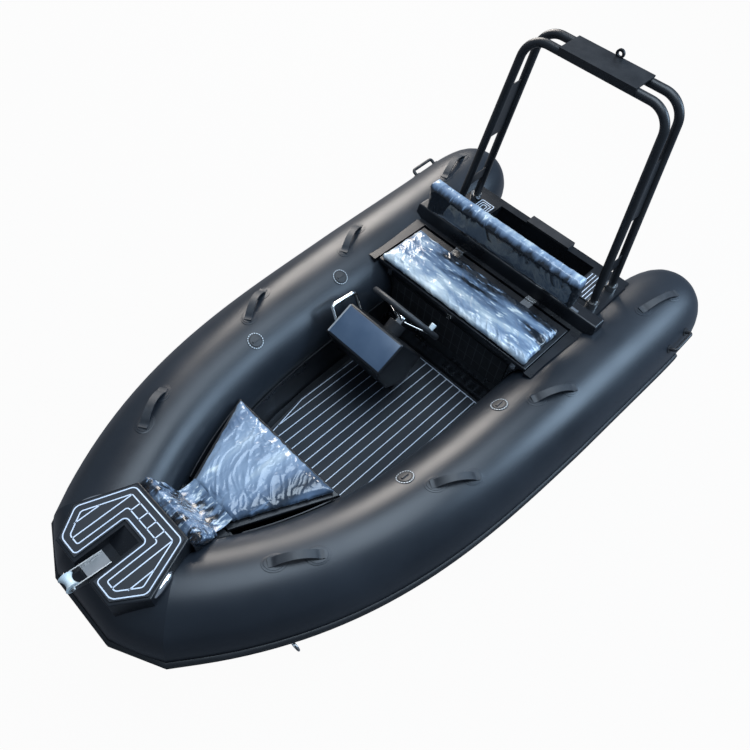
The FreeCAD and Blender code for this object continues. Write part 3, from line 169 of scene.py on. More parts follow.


# Shared surface: two colours and two roughnesses mixed in soft patches, over a fine raised grain.
# Every plain finish of the boat is this group with its own values.
# The second colour is wear on most finishes and painted sheen on the collar.
patch_detail, patch_rough, tint_low, tint_high, rough_low, rough_high = 4.0, 0.6, 0.35, 0.7, 0.3, 0.7
grain_detail, bump_strength, coat_rough, bevel_samples = 2.0, 0.6, 0.12, 6
patchy, given, result = group_tree(
    "patchy_surface",
    [("Vector", "NodeSocketVector", None), ("Colour", "NodeSocketColor", (0.1, 0.1, 0.1, 1)),
     ("Wear And Sheen Colour", "NodeSocketColor", (0.2, 0.2, 0.2, 1)), ("Smooth", "NodeSocketFloat", 0.3),
     ("Rough", "NodeSocketFloat", 0.5), ("Patch Scale", "NodeSocketFloat", 6.0),
     ("Grain Scale", "NodeSocketFloat", 400.0)],
    [("Colour", "NodeSocketColor"), ("Roughness", "NodeSocketFloat"), ("Height", "NodeSocketFloat")])
patches = node(patchy, "ShaderNodeTexNoise", inputs={"Vector": given.outputs["Vector"],
               "Scale": given.outputs["Patch Scale"], "Detail": patch_detail, "Roughness": patch_rough})
spread = node(patchy, "ShaderNodeMapRange", inputs={"Value": patches.outputs[0], "From Min": tint_low,
                                                    "From Max": tint_high})
tint = node(patchy, "ShaderNodeMix", {"data_type": "RGBA"}, {0: spread.outputs[0]})
patchy.links.new(given.outputs["Colour"], tint.inputs[6])
patchy.links.new(given.outputs["Wear And Sheen Colour"], tint.inputs[7])
rough = node(patchy, "ShaderNodeMapRange", inputs={
    "Value": patches.outputs[0], "From Min": rough_low, "From Max": rough_high,
    "To Min": given.outputs["Smooth"], "To Max": given.outputs["Rough"]})
grain = node(patchy, "ShaderNodeTexNoise", inputs={"Vector": given.outputs["Vector"],
             "Scale": given.outputs["Grain Scale"], "Detail": grain_detail})
patchy.links.new(tint.outputs[2], result.inputs["Colour"])
patchy.links.new(rough.outputs[0], result.inputs["Roughness"])
patchy.links.new(grain.outputs[0], result.inputs["Height"])


def finish_of(name, colour, wear_and_sheen, smooth, rough, patch_scale=6.0, grain_scale=400.0, grain_height=0.0002,
              metal=0.0, coat=0.0, stretch=(1, 1, 1), edge=0.0):
    """A material whose colour, roughness and grain come from the shared surface group."""
    made = bpy.data.materials.new(name)
    made.use_nodes = True
    tree = made.node_tree
    shader = tree.nodes["Principled BSDF"]
    place = node(tree, "ShaderNodeTexCoord")
    turned = node(tree, "ShaderNodeMapping", inputs={"Vector": place.outputs["Object"], "Scale": stretch})
    surface = node(tree, "ShaderNodeGroup", {"node_tree": patchy},
                   {"Vector": turned.outputs[0], "Colour": (*colour, 1), "Wear And Sheen Colour": (*wear_and_sheen, 1),
                    "Smooth": smooth, "Rough": rough, "Patch Scale": patch_scale, "Grain Scale": grain_scale})
    bump = node(tree, "ShaderNodeBump", inputs={
        "Height": surface.outputs["Height"], "Strength": bump_strength, "Distance": grain_height})
    if edge:
        softened = node(tree, "ShaderNodeBevel", {"samples": bevel_samples}, {"Radius": edge})
        tree.links.new(softened.outputs[0], bump.inputs["Normal"])
    tree.links.new(surface.outputs["Colour"], shader.inputs["Base Color"])
    tree.links.new(surface.outputs["Roughness"], shader.inputs["Roughness"])
    tree.links.new(bump.outputs[0], shader.inputs["Normal"])
    shader.inputs["Metallic"].default_value = metal
    shader.inputs["Coat Weight"].default_value = coat
    shader.inputs["Coat Roughness"].default_value = coat_rough
    return made


fabric = finish_of("coated_fabric", fabric_black, fabric_painted_sheen, 0.30, 0.42, patch_scale=1.6, grain_scale=900,
                   grain_height=0.00008)


def bend(x):
    """How far a station is along the curve to the bow, from 0 to 1."""
    return max(0.0, x - bend_start) / (bow_axis - bend_start)


def stern(x):
    """How far a station is along the stern cone, from 0 to 1."""
    return max(0.0, cone_start - x) / cone_length


def axis_y(x):
    """The side chamber's axis, out from the centre line."""
    return half_spacing - toe_in * x / bow_axis - bow_inset * bend(x) ** bend_power


def axis_z(x):
    """The side chamber's axis, up from the waterline."""
    return axis_height + bow_rise * bend(x) ** 2 + cone_rise * stern(x) ** 2


def axis_at(x):
    """The port chamber's axis at a station."""
    return Vector((x, axis_y(x), axis_z(x)))


def radius_at(x):
    """The side chamber's radius, which narrows to the bow and closes at the stern."""
    side = tube_radius - (tube_radius - bow_radius) * bend(x)
    return side * max(0.0, 1 - stern(x) ** cone_power) ** (1 / cone_root)


def heading(x):
    """The axis's turn inboard at a station, in plan."""
    step = 0.0005
    return math.atan2(axis_y(x - step) - axis_y(x + step), 2 * step)


def add_ring(bm, centre, angle, size, stretch=1.0, segments=96):
    """An upright circle of vertices across the tube."""
    turn = Matrix.Rotation(-angle, 4, "Z") @ Matrix.Diagonal((1, stretch, 1, 1))
    turn = turn @ Matrix.Rotation(math.pi / 2, 4, "Y")
    made = bmesh.ops.create_circle(bm, segments=segments, radius=size,
                                   matrix=Matrix.Translation(centre) @ turn)
    return made["verts"]


def ring_edges(verts):
    """The edges that join a ring's own vertices."""
    chosen = set(verts)
    return list({edge for vert in verts for edge in vert.link_edges
                 if edge.verts[0] in chosen and edge.verts[1] in chosen})


def bridge(bm, rings):
    """A skin through the rings, in order."""
    for first, second in zip(rings, rings[1:]):
        bmesh.ops.bridge_loops(bm, edges=ring_edges(first) + ring_edges(second))


def face_outward(bm):
    """Turns every face outward."""
    bmesh.ops.recalc_face_normals(bm, faces=bm.faces)


def piece(bm, name, material, body, replaces=(), crease=35, mirror=False):
    """Makes the finished object from a bmesh, in place, parents it to its body's empty and hides the CAD
    nodes it replaces.
    """
    if mirror:
        twin = bmesh.ops.duplicate(bm, geom=bm.verts[:] + bm.edges[:] + bm.faces[:])["geom"]
        moved = [item for item in twin if isinstance(item, bmesh.types.BMVert)]
        bmesh.ops.scale(bm, vec=(1, -1, 1), verts=moved)
        bmesh.ops.reverse_faces(bm, faces=[item for item in twin if isinstance(item, bmesh.types.BMFace)])
    mesh = bpy.data.meshes.new(name)
    for face in bm.faces:
        face.smooth = True
    bm.to_mesh(mesh)
    bm.free()
    mesh.set_sharp_from_angle(angle=math.radians(crease))
    mesh.materials.append(material)
    made = bpy.data.objects.new(name, mesh)
    boat.objects.link(made)
    if body:
        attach(made, body)
    if replaces:
        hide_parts(*replaces)
    return made


corner_x = bow_axis * corner_share
corner_place = axis_at(corner_x)
front_place = Vector((bow_axis, bow_flat, axis_z(bow_axis)))
corner_turn = math.atan2(corner_place.y - front_place.y, front_place.x - corner_place.x)
half_turn = (corner_turn - heading(corner_x)) / 2
last_turn = (math.radians(90) - corner_turn) / 2
corner_heading, front_heading = heading(corner_x) + half_turn, corner_turn + last_turn

side_chamber = bmesh.new()
cone_shares = [math.sin(math.pi / 2 * step / cone_rings) for step in range(cone_rings + 1)]
stern_end = cone_start - cone_length * cone_end_share
stations = [cone_start + (stern_end - cone_start) * share for share in reversed(cone_shares)]
stations += [cone_start + (corner_x - cone_start) * step / side_rings for step in range(1, side_rings)]
rings = [add_ring(side_chamber, axis_at(x), heading(x), radius_at(x)) for x in stations]
rings.append(add_ring(side_chamber, corner_place, corner_heading, radius_at(corner_x),
                      1 / math.cos(half_turn)))
bridge(side_chamber, rings)
bmesh.ops.contextual_create(side_chamber, geom=ring_edges(rings[0]))
bmesh.ops.contextual_create(side_chamber, geom=ring_edges(rings[-1]))
face_outward(side_chamber)

# Slack creases near the inner side, where the skin is pulled round the cockpit.
crease_depth, crease_pitch, crease_across, crease_below = 0.0022, 7.0, 2.2, 0.05
for vert in side_chamber.verts:
    x = max(stern_end, min(corner_x, vert.co.x))
    inward = max(0.0, (axis_y(x) - vert.co.y) / tube_radius) * (vert.co.z > axis_z(x) - crease_below)
    wave = noise.noise(Vector((vert.co.x * crease_pitch, vert.co.z * crease_across,
                               vert.co.y * crease_across)))
    vert.co += vert.normal * wave * crease_depth * inward
port_skin = side_chamber.copy()
piece(port_skin, "collar_port", fabric, "boat", ["tube_port"], crease=collar_crease)
bmesh.ops.scale(side_chamber, vec=(1, -1, 1), verts=side_chamber.verts)
face_outward(side_chamber)
piece(side_chamber, "collar_starboard", fabric, "boat", ["tube_starboard"], crease=collar_crease)


def add_bow_ring(bm, share, side):
    """A ring of the bow chamber, at a share of the way from its corner to its front, on one side."""
    place = corner_place.lerp(front_place, share)
    place.y *= side
    angle = corner_heading + (front_heading - corner_heading) * share
    size = bow_radius if share else radius_at(corner_x)
    stretch = 1 / math.cos(last_turn * share + half_turn * (1 - share))
    return add_ring(bm, place, angle if side > 0 else math.pi - angle, size, stretch)


bow_chamber = bmesh.new()
shares = [step / bow_rings for step in range(bow_rings + 1)]
rings = [add_bow_ring(bow_chamber, share, 1) for share in shares]
rings += [add_bow_ring(bow_chamber, share, -1) for share in reversed(shares)]
bridge(bow_chamber, rings)
bmesh.ops.contextual_create(bow_chamber, geom=ring_edges(rings[0]))
bmesh.ops.contextual_create(bow_chamber, geom=ring_edges(rings[-1]))
face_outward(bow_chamber)
piece(bow_chamber, "collar_bow", fabric, "boat", ["tube_bow"], crease=collar_crease)

# The rubbing strake: a black rubber extrusion with two rounded ridges, glued round the collar.
# It runs from the transom round the bow a little below the tubes' axis.
strake_middle = -0.008
strake_half = [(0.0004, -0.0265), (0.006, -0.0262), (0.0095, -0.0225), (0.0135, -0.0185), (0.0142, -0.0125),
               (0.0135, -0.0075), (0.0095, -0.005), (0.0095, -0.003)]
strake_profile = strake_half + [(reach, strake_middle - rise) for reach, rise in reversed(strake_half)]
strake_start, strake_rows = 0.046, 60
rubber = finish_of("strake_rubber", (0.012, 0.013, 0.015), (0.02, 0.021, 0.024), 0.42, 0.6,
                   patch_scale=9, grain_scale=700, grain_height=0.0002)


def add_profile(bm, profile, centre, angle, size, stretch=1.0, side=1):
    """The vertices of an open section set upright on the outside of a tube."""
    out = Vector((math.sin(angle), side * math.cos(angle), 0))
    place = Vector((centre.x, side * centre.y, centre.z))
    return [bm.verts.new(place + out * (size + reach) * stretch + Vector((0, 0, rise)))
            for reach, rise in profile]


def join_rows(bm, rows, closed=False):
    """Faces between rows of vertices of equal count."""
    for first, second in zip(rows, rows[1:]):
        count = len(first)
        for i in range(count if closed else count - 1):
            j = (i + 1) % count
            bm.faces.new((first[i], first[j], second[j], second[i]))


strake = bmesh.new()
rows = {1: [], -1: []}
for side in rows:
    for step in range(strake_rows + 1):
        x = strake_start + (corner_x - strake_start) * step / strake_rows
        at_corner = step == strake_rows
        rows[side].append(add_profile(strake, strake_profile, axis_at(x), heading(x) + half_turn * at_corner,
                                      radius_at(x), 1 / math.cos(half_turn * at_corner), side))
    rows[side].append(add_profile(strake, strake_profile, front_place, front_heading, bow_radius,
                                  1 / math.cos(last_turn), side))
rows = rows[1] + rows[-1][::-1]
join_rows(strake, rows)
strake.faces.new(rows[0])
strake.faces.new(rows[-1][::-1])
face_outward(strake)
piece(strake, "strake", rubber, "boat", ["rub_strake"], crease=60)

# The black mouldings and fittings that keep the CAD's own form get their finishes here.
# They are glossy gelcoat, satin plastic, powder coated tube, polished steel, vinyl, foam and webbing.
gloss_black = finish_of("gloss_moulding", (0.006, 0.007, 0.009), (0.012, 0.014, 0.018), 0.24, 0.34,
                        patch_scale=5, grain_scale=18, grain_height=0.0002)
hull_black = finish_of("hull_gelcoat", (0.03, 0.033, 0.038), (0.045, 0.048, 0.052), 0.16, 0.3,
                       patch_scale=4, grain_scale=18, grain_height=0.0002, coat=0.4)
satin_black = finish_of("satin_plastic", (0.014, 0.015, 0.018), (0.024, 0.025, 0.028), 0.38, 0.5,
                        grain_scale=1200, grain_height=0.00012, edge=0.002)
powder_black = finish_of("powder_coat", (0.008, 0.009, 0.011), (0.014, 0.016, 0.019), 0.32, 0.42,
                         patch_scale=9, grain_scale=1500, grain_height=0.0001)
bright_steel = finish_of("polished_steel", (0.62, 0.62, 0.61), (0.5, 0.5, 0.5), 0.12, 0.26,
                         patch_scale=30, grain_scale=600, grain_height=0.00005, metal=1.0)
brushed_steel = finish_of("brushed_steel", (0.62, 0.62, 0.61), (0.5, 0.5, 0.5), 0.28, 0.4,
                          patch_scale=30, grain_scale=600, grain_height=0.00005, metal=1.0)
chrome = finish_of("chrome", (0.82, 0.83, 0.85), (0.7, 0.71, 0.73), 0.06, 0.14, patch_scale=40,
                   grain_scale=300, grain_height=0.00004, metal=1.0)
foam_black = finish_of("brushed_foam", (0.012, 0.016, 0.022), (0.018, 0.023, 0.031), 0.6, 0.8,
                       patch_scale=4, grain_scale=320, grain_height=0.00008, stretch=(0.25, 3, 1))
# A darker copy of the deck foam: painted shade, for the locker front under the seat.
foam_painted_shade = finish_of("shaded_foam", (0.008, 0.009, 0.011), (0.012, 0.014, 0.016), 0.6, 0.8,
                      patch_scale=4, grain_scale=320, grain_height=0.00008)
console_black = finish_of("console_gloss", (0.008, 0.009, 0.011), (0.013, 0.014, 0.016), 0.3, 0.38,
                          patch_scale=5, grain_scale=14, grain_height=0.00002)
panel_blue = finish_of("console_panel", (0.045, 0.075, 0.125), (0.06, 0.095, 0.15), 0.28, 0.4,
                       patch_scale=7, grain_scale=900, grain_height=0.00008, coat=0.2)
grip_black = finish_of("wheel_grip", (0.02, 0.022, 0.025), (0.034, 0.036, 0.04), 0.42, 0.55,
                       patch_scale=14, grain_scale=900, grain_height=0.0003)
roller_white = finish_of("roller_plastic", (0.62, 0.72, 0.76), (0.72, 0.8, 0.83), 0.3, 0.4,
                         patch_scale=12, grain_scale=500, grain_height=0.0001)
vinyl = finish_of("cushion_vinyl", (0.016, 0.02, 0.026), (0.03, 0.035, 0.042), 0.32, 0.5, patch_scale=8,
                  grain_scale=700, grain_height=0.0004)
webbing = finish_of("strap_webbing", (0.020, 0.023, 0.028), (0.034, 0.038, 0.044), 0.45, 0.6,
                    patch_scale=20, grain_scale=900, grain_height=0.0004)
finishes = {
    "collar": fabric, "strake": rubber, "hull_shell": hull_black, "moulding": gloss_black,
    "deck_pad": foam_black, "clamp_plastic": satin_black, "cushion_vinyl": vinyl, "steel": bright_steel,
    "black_metal": powder_black, "arch_metal": powder_black, "console_gloss": console_black,
    "black_plastic": satin_black, "panel_plastic": panel_blue, "wheel_grip": grip_black,
    "roller_plastic": roller_white, "chrome_trim": chrome, "strap_fabric": webbing,
}
for entry in frame["record"]["subparts"]:
    carried = frame["nodes"][entry["node"]]
    carried.data.materials.clear()
    carried.data.materials.append(finishes[entry["material_slot"]])
# The locker front under the seat gets the darker foam as painted shade.
frame["nodes"]["seat_front_pad"].data.materials[0] = foam_painted_shade
frame["nodes"]["bow_channel"].data.materials[0] = brushed_steel

# The sole pad: soft foam planks in dark grey, glued down, with pale caulking lines let in flush.
# The lines run fore and aft, with a cross line aft and a border that follows each side.
plank, line_width, line_lift, sole_top, side_planks = 0.048, 0.0042, 0.0002, 0.023, 6
border_inset, pad_aft, pad_bend, pad_front = 0.012, 0.868, 1.516, 1.873
pad_half, pad_front_half = 0.336, 0.268
caulk = finish_of("caulk_lines", (0.60, 0.70, 0.84), (0.72, 0.79, 0.9), 0.5, 0.6, grain_height=0.0)
# A dark copy of the pale caulk: painted shade, for the locker front under the seat.
caulk_painted_shade = finish_of("caulk_shaded", (0.05, 0.055, 0.065), (0.07, 0.075, 0.085), 0.5, 0.6,
                      grain_height=0.0)


def add_strip(bm, start, end, width, z):
    """A flat strip between two points in plan."""
    start, end = Vector(start), Vector(end)
    way = end - start
    middle = (start + end) / 2
    turn = Matrix.Rotation(math.atan2(way.y, way.x), 4, "Z")
    bmesh.ops.create_grid(bm, x_segments=1, y_segments=1, size=0.5,
                          matrix=Matrix.Translation((middle.x, middle.y, z)) @ turn
                          @ Matrix.Diagonal((way.length, width, 1, 1)))


def round_off(bm, geom, size, segments, affect="EDGES"):
    """Rounds edges, or the corners of a flat outline, to arcs."""
    bmesh.ops.bevel(bm, geom=geom, offset=size, offset_type="OFFSET", segments=segments, profile=0.5,
                    affect=affect, material=-1)


def add_loop(bm, corners, inset, corner_round, width, z):
    """A closed flat line: the outline moved in by inset, its corners rounded, and only its rim kept."""
    before = set(bm.faces)
    face = bm.faces.new([bm.verts.new((x, y, z)) for x, y in corners])
    bm.normal_update()
    if inset:
        rim = bmesh.ops.inset_region(bm, faces=[face], thickness=inset, use_boundary=True,
                                     use_even_offset=True)
        bmesh.ops.delete(bm, geom=rim["faces"], context="FACES")
    round_off(bm, face.verts[:], corner_round, 5, affect="VERTICES")
    face = [item for item in bm.faces if item not in before][0]
    bm.normal_update()
    bmesh.ops.inset_region(bm, faces=[face], thickness=width, use_boundary=True, use_even_offset=True)
    bmesh.ops.delete(bm, geom=[face], context="FACES")


sole_lines = bmesh.new()
side_half = pad_half - border_inset
front_half = pad_front_half - border_inset
for k in range(-side_planks, side_planks + 1):
    y = k * plank
    reach = pad_front
    if abs(y) > front_half:
        reach = pad_bend + (pad_front - pad_bend) * (side_half - abs(y)) / (side_half - front_half)
    add_strip(sole_lines, (pad_aft, y), (reach, y), line_width, sole_top + line_lift)
for side in (-1, 1):
    add_strip(sole_lines, (pad_aft, side * side_half), (pad_bend, side * side_half), line_width,
              sole_top + line_lift)
    add_strip(sole_lines, (pad_bend, side * side_half), (pad_front, side * front_half), line_width,
              sole_top + line_lift)
add_strip(sole_lines, (pad_aft, -side_half), (pad_aft, side_half), line_width, sole_top + line_lift * 1.5)
piece(sole_lines, "sole_lines", caulk, "boat")

# The bow step's pad has two nested rounded loops round the slot and lines fore and aft between them.
step_rear, step_side, step_front, step_top = 2.469, 2.672, 2.773, 0.652
step_rear_half, step_side_half, step_front_half, slot_rear, slot_half = 0.1435, 0.223, 0.1515, 2.573, 0.057
loop_inset, inner_inset, loop_round, inner_round, bow_line = 0.005, 0.030, 0.016, 0.009, 0.0044
centre_lines, arm_line, outer_line = (0.024, 0.072), 0.120, 0.162
arm_start, outer_start, outer_end = 0.004, 0.108, 0.034
bow_half = [(step_front, slot_half), (step_front, step_front_half), (step_side, step_side_half),
            (step_rear, step_rear_half)]
slot_end = [(slot_rear, -slot_half), (slot_rear, slot_half)]
bow_outline = [(x, -y) for x, y in reversed(bow_half)] + slot_end + bow_half
step_lines = bmesh.new()
add_loop(step_lines, bow_outline, loop_inset, loop_round, bow_line, step_top + line_lift)
add_loop(step_lines, bow_outline, inner_inset, inner_round, bow_line, step_top + line_lift)
rear, inner_rear, inner_front = step_rear + inner_inset, slot_rear - inner_inset, step_front - inner_inset
runs = [(y, rear, inner_rear) for y in centre_lines]
runs += [(arm_line, rear + arm_start, inner_front), (outer_line, rear + outer_start, inner_front - outer_end)]
for y, start, end in runs:
    for side in (-1, 1):
        add_strip(step_lines, (start, side * y), (end, side * y), bow_line, step_top + line_lift)
piece(step_lines, "bow_step_lines", caulk, "boat")

# The pads on the stern decks carry small nested loops to starboard and plain planks to port.
stern_pad = [(0.099, 0.324), (0.279, 0.324), (0.279, 0.410), (0.099, 0.410)]
stern_top, stern_round, stern_line, stern_insets = 0.482, 0.008, 0.0035, (0.0, 0.014, 0.028)
stern_planks, stern_plank, stern_first = 5, 0.018, 0.007
stern_lines = bmesh.new()
for inset in stern_insets:
    add_loop(stern_lines, [(x, -y) for x, y in reversed(stern_pad)], inset, stern_round, stern_line,
             stern_top + line_lift)
for k in range(stern_planks):
    y = stern_pad[0][1] + stern_first + k * stern_plank
    add_strip(stern_lines, (stern_pad[0][0], y), (stern_pad[1][0], y), stern_line, stern_top + line_lift)
piece(stern_lines, "stern_pad_lines", caulk, "boat")

# The pad on the locker's front has upright planks and two lines across; their caulk is painted dark as shade
# under the seat.
front_face, front_low, front_high, front_half_width = 0.8422, 0.222, 0.403, 0.366
front_planks, front_line, cross_inset = 7, line_width * 0.7, 0.05
front_lines = bmesh.new()
for k in range(-front_planks, front_planks + 1):
    add_strip(front_lines, (front_low, k * plank), (front_high, k * plank), front_line, 0)
for high in (front_low + cross_inset, front_high - cross_inset):
    add_strip(front_lines, (high, -front_half_width), (high, front_half_width), front_line, 0)
upright = Matrix(((0, 0, 1, 0), (0, 1, 0, 0), (1, 0, 0, 0), (0, 0, 0, 1)))
bmesh.ops.transform(front_lines, matrix=Matrix.Translation((front_face, 0, 0)) @ upright,
                    verts=front_lines.verts)
piece(front_lines, "seat_front_lines", caulk_painted_shade, "boat")

# The seat cushion: foam in black vinyl, screwed to the lid, still in its clear wrapping film.
# A cloth simulation puffs the foam; the film is the same skin lifted off and drawn into ridges.
seat_voxel, seat_cap, seat_shrink, seat_floor = 0.0075, 0.010, 0.006, 0.4905
full_pressure, cloth_frames = 4.0, 20
film_lift, film_ridge, film_seed, merge_distance, all_smooth = 0.0016, 0.0042, 3, 0.00001, 180
noise.seed_set(film_seed)


def stuffed(bm, voxel, cap, pressure, floor=None):
    """Evens a closed form with a voxel remesh, puffs it with cloth pressure, and holds each point within cap
    of its start and above floor when one is given.
    """
    mesh = bpy.data.meshes.new("padding")
    bm.to_mesh(mesh)
    bm.free()
    pad = bpy.data.objects.new("padding", mesh)
    boat.objects.link(pad)
    remesh = pad.modifiers.new("even", "REMESH")
    remesh.mode, remesh.voxel_size = "VOXEL", voxel
    pad.data = evaluated_copy(pad)
    start = [vert.co.copy() for vert in pad.data.vertices]
    cloth = pad.modifiers.new("puff", "CLOTH")
    cloth.settings.use_pressure = True
    cloth.settings.uniform_pressure_force = pressure
    cloth.settings.effector_weights.gravity = 0
    cloth.point_cache.frame_start, cloth.point_cache.frame_end = 1, cloth_frames
    for step in range(1, cloth_frames + 1):
        scene.frame_set(step)
    pad.data = evaluated_copy(pad)
    scene.frame_set(1)
    for vert, first in zip(pad.data.vertices, start):
        move = vert.co - first
        if move.length > cap:
            vert.co = first + move * cap / move.length
        if floor is not None:
            vert.co.z = max(floor, vert.co.z)
    soft = bmesh.new()
    soft.from_mesh(pad.data)
    bpy.data.objects.remove(pad)
    return soft


def evaluated_copy(item):
    """The object's mesh with its modifiers applied, and the modifiers removed."""
    view = bpy.context.evaluated_depsgraph_get()
    mesh = bpy.data.meshes.new_from_object(item.evaluated_get(view))
    item.modifiers.clear()
    return mesh


def from_node(name, shrink):
    """A working copy of a CAD node's mesh, drawn in a little from its own bounds."""
    bm = bmesh.new()
    bm.from_mesh(frame["nodes"][name].data)
    bmesh.ops.remove_doubles(bm, verts=bm.verts, dist=merge_distance)
    low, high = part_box(name)
    middle = (Vector(low) + Vector(high)) / 2
    size = Vector(high) - Vector(low)
    bmesh.ops.translate(bm, vec=-middle, verts=bm.verts)
    bmesh.ops.scale(bm, vec=Vector([1 - 2 * shrink / length for length in size]), verts=bm.verts)
    bmesh.ops.translate(bm, vec=middle, verts=bm.verts)
    return bm


# The wrapping film's look: thin clear plastic sheet, pulled round each pad and taped below.
# It is dark where the vinyl shows through; the sky blue is a painted sky reflection and the white on the
# crests is painted highlight.
broad_detail, broad_rough, broad_twist, streak_scale = 1.0, 0.4, 0.25, 3.1
streak_detail, streak_rough, streak_twist, streak_share = 2.0, 0.6, 0.3, 0.35
glint_low, glint_high, glint_gain, noise_middle = 0.07, 0.17, 0.32, 0.5
film_smooth, film_rough, film_dark, film_bright = 0.16, 0.34, 0.3, 0.9
# The tones run from the vinyl's own dark through painted sky-blue reflection to painted white highlight.
vinyl_and_painted_sky_tones = ((0.42, (0.012, 0.016, 0.022, 1)), (0.5, (0.05, 0.075, 0.115, 1)),
              (0.58, (0.11, 0.165, 0.255, 1)), (0.74, (0.21, 0.29, 0.40, 1)),
              (0.86, (0.40, 0.48, 0.54, 1)), (1.0, (0.66, 0.72, 0.75, 1)))
film_group, given, result = group_tree(
    "wrapping_film",
    [("Vector", "NodeSocketVector", None), ("Bias", "NodeSocketFloat", 0.0),
     ("Scale", "NodeSocketFloat", 6.0), ("Contrast", "NodeSocketFloat", 1.0)],
    [("Colour", "NodeSocketColor"), ("Roughness", "NodeSocketFloat"), ("Height", "NodeSocketFloat")])


def film_math(operation, first, second):
    """A sum, difference or product inside the film group."""
    return node(film_group, "ShaderNodeMath", {"operation": operation}, {0: first, 1: second}).outputs[0]


broad = node(film_group, "ShaderNodeTexNoise", inputs={
    "Vector": given.outputs["Vector"], "Scale": given.outputs["Scale"], "Detail": broad_detail,
    "Roughness": broad_rough, "Distortion": broad_twist})
streaks = node(film_group, "ShaderNodeTexNoise", inputs={
    "Vector": given.outputs["Vector"], "Scale": film_math("MULTIPLY", given.outputs["Scale"], streak_scale),
    "Detail": streak_detail, "Roughness": streak_rough, "Distortion": streak_twist})
uneven = film_math("SUBTRACT", streaks.outputs[0], noise_middle)
centred = film_math("MULTIPLY", uneven, given.outputs["Contrast"])
# The glint lifts the highest streaks toward white: painted highlight.
glint = node(film_group, "ShaderNodeMapRange", inputs={
    "Value": centred, "From Min": glint_low, "From Max": glint_high, "To Min": 0.0, "To Max": glint_gain})
clouds = film_math("SUBTRACT", broad.outputs[0], noise_middle)
calmer = film_math("MULTIPLY", clouds, given.outputs["Contrast"])
lifted = film_math("ADD", film_math("ADD", calmer, noise_middle), given.outputs["Bias"])
shaded = film_math("ADD", lifted, film_math("MULTIPLY", centred, streak_share))
shade = film_math("ADD", shaded, glint.outputs[0])
ramp = node(film_group, "ShaderNodeValToRGB", inputs={0: shade})
first_tone, last_tone = ramp.color_ramp.elements
first_tone.position, first_tone.color = vinyl_and_painted_sky_tones[0]
last_tone.position, last_tone.color = vinyl_and_painted_sky_tones[-1]
for position, colour in vinyl_and_painted_sky_tones[1:-1]:
    ramp.color_ramp.elements.new(position).color = colour
rough = node(film_group, "ShaderNodeMapRange", inputs={
    "Value": shade, "From Min": film_dark, "From Max": film_bright,
    "To Min": film_smooth, "To Max": film_rough})
film_group.links.new(ramp.outputs["Color"], result.inputs["Colour"])
film_group.links.new(rough.outputs[0], result.inputs["Roughness"])
film_group.links.new(streaks.outputs[0], result.inputs["Height"])
film_bump, film_coat, film_coat_rough = 0.7, 0.6, 0.08


def film_of(name, turn, stretch, painted_sky_level, painted_light_lean, centre, scale=1.0, relief=0.004, contrast=1.0):
    """A film material whose streaks run along a turned, stretched axis, and whose painted sky reflection
    grows brighter along the given direction.
    """
    made = bpy.data.materials.new(name)
    made.use_nodes = True
    tree = made.node_tree
    shader = tree.nodes["Principled BSDF"]
    place = node(tree, "ShaderNodeTexCoord")
    turned = node(tree, "ShaderNodeMapping", inputs={"Vector": place.outputs["Object"], "Rotation": turn,
                                                     "Scale": stretch})
    # The painted sky reflection grows brighter along the given direction from the pad's middle.
    off = node(tree, "ShaderNodeVectorMath", {"operation": "SUBTRACT"},
               {0: place.outputs["Object"], 1: centre})
    along = node(tree, "ShaderNodeVectorMath", {"operation": "DOT_PRODUCT"}, {0: off.outputs[0], 1: painted_light_lean})
    bias = node(tree, "ShaderNodeMath", {"operation": "ADD"}, {0: along.outputs["Value"], 1: painted_sky_level})
    surface = node(tree, "ShaderNodeGroup", {"node_tree": film_group},
                   {"Vector": turned.outputs[0], "Bias": bias.outputs[0], "Scale": scale,
                    "Contrast": contrast})
    bump = node(tree, "ShaderNodeBump", inputs={"Height": surface.outputs["Height"], "Strength": film_bump,
                                                "Distance": relief})
    tree.links.new(surface.outputs["Colour"], shader.inputs["Base Color"])
    tree.links.new(surface.outputs["Roughness"], shader.inputs["Roughness"])
    tree.links.new(bump.outputs[0], shader.inputs["Normal"])
    shader.inputs["Coat Weight"].default_value = film_coat
    shader.inputs["Coat Roughness"].default_value = film_coat_rough
    return made


swirl_scale, swirl_reach, fold_narrow, fold_power, fold_share = 0.35, 1.2, 3.2, 1.5, 0.7
fine_scale, fine_swirl, fine_narrow, fine_share = 2.3, 2, 3.0, 0.3


def wrapped(soft, name, material, body, lift, ridge, turn, stretch):
    """The same skin lifted off as film, its slack drawn into sharp ridges that run one way."""
    rotate = Matrix.Rotation(turn, 3, "Z")
    bmesh.ops.subdivide_edges(soft, edges=soft.edges[:], cuts=1, use_grid_fill=True, smooth=0.0)
    soft.normal_update()
    moves = []
    for vert in soft.verts:
        at = rotate @ vert.co
        at = Vector((at.x * stretch[0], at.y * stretch[1], at.z * stretch[2]))
        swirl = noise.noise_vector(at * swirl_scale) * swirl_reach
        fold = 1 - min(1.0, abs(noise.noise(at + swirl)) * fold_narrow)
        fine = 1 - min(1.0, abs(noise.noise(at * fine_scale + swirl * fine_swirl)) * fine_narrow)
        moves.append(vert.normal * (lift + ridge * (fold_share * fold ** fold_power + fine_share * fine)))
    for vert, move in zip(soft.verts, moves):
        vert.co += move
    return piece(soft, name, material, body, crease=all_smooth)


seat_soft = stuffed(from_node("seat_cushion", seat_shrink), seat_voxel, seat_cap, full_pressure, seat_floor)
seat_skin = piece(seat_soft.copy(), "seat_cushion_pad", vinyl, "seat_lid_body",
                  ["seat_cushion"], crease=all_smooth)
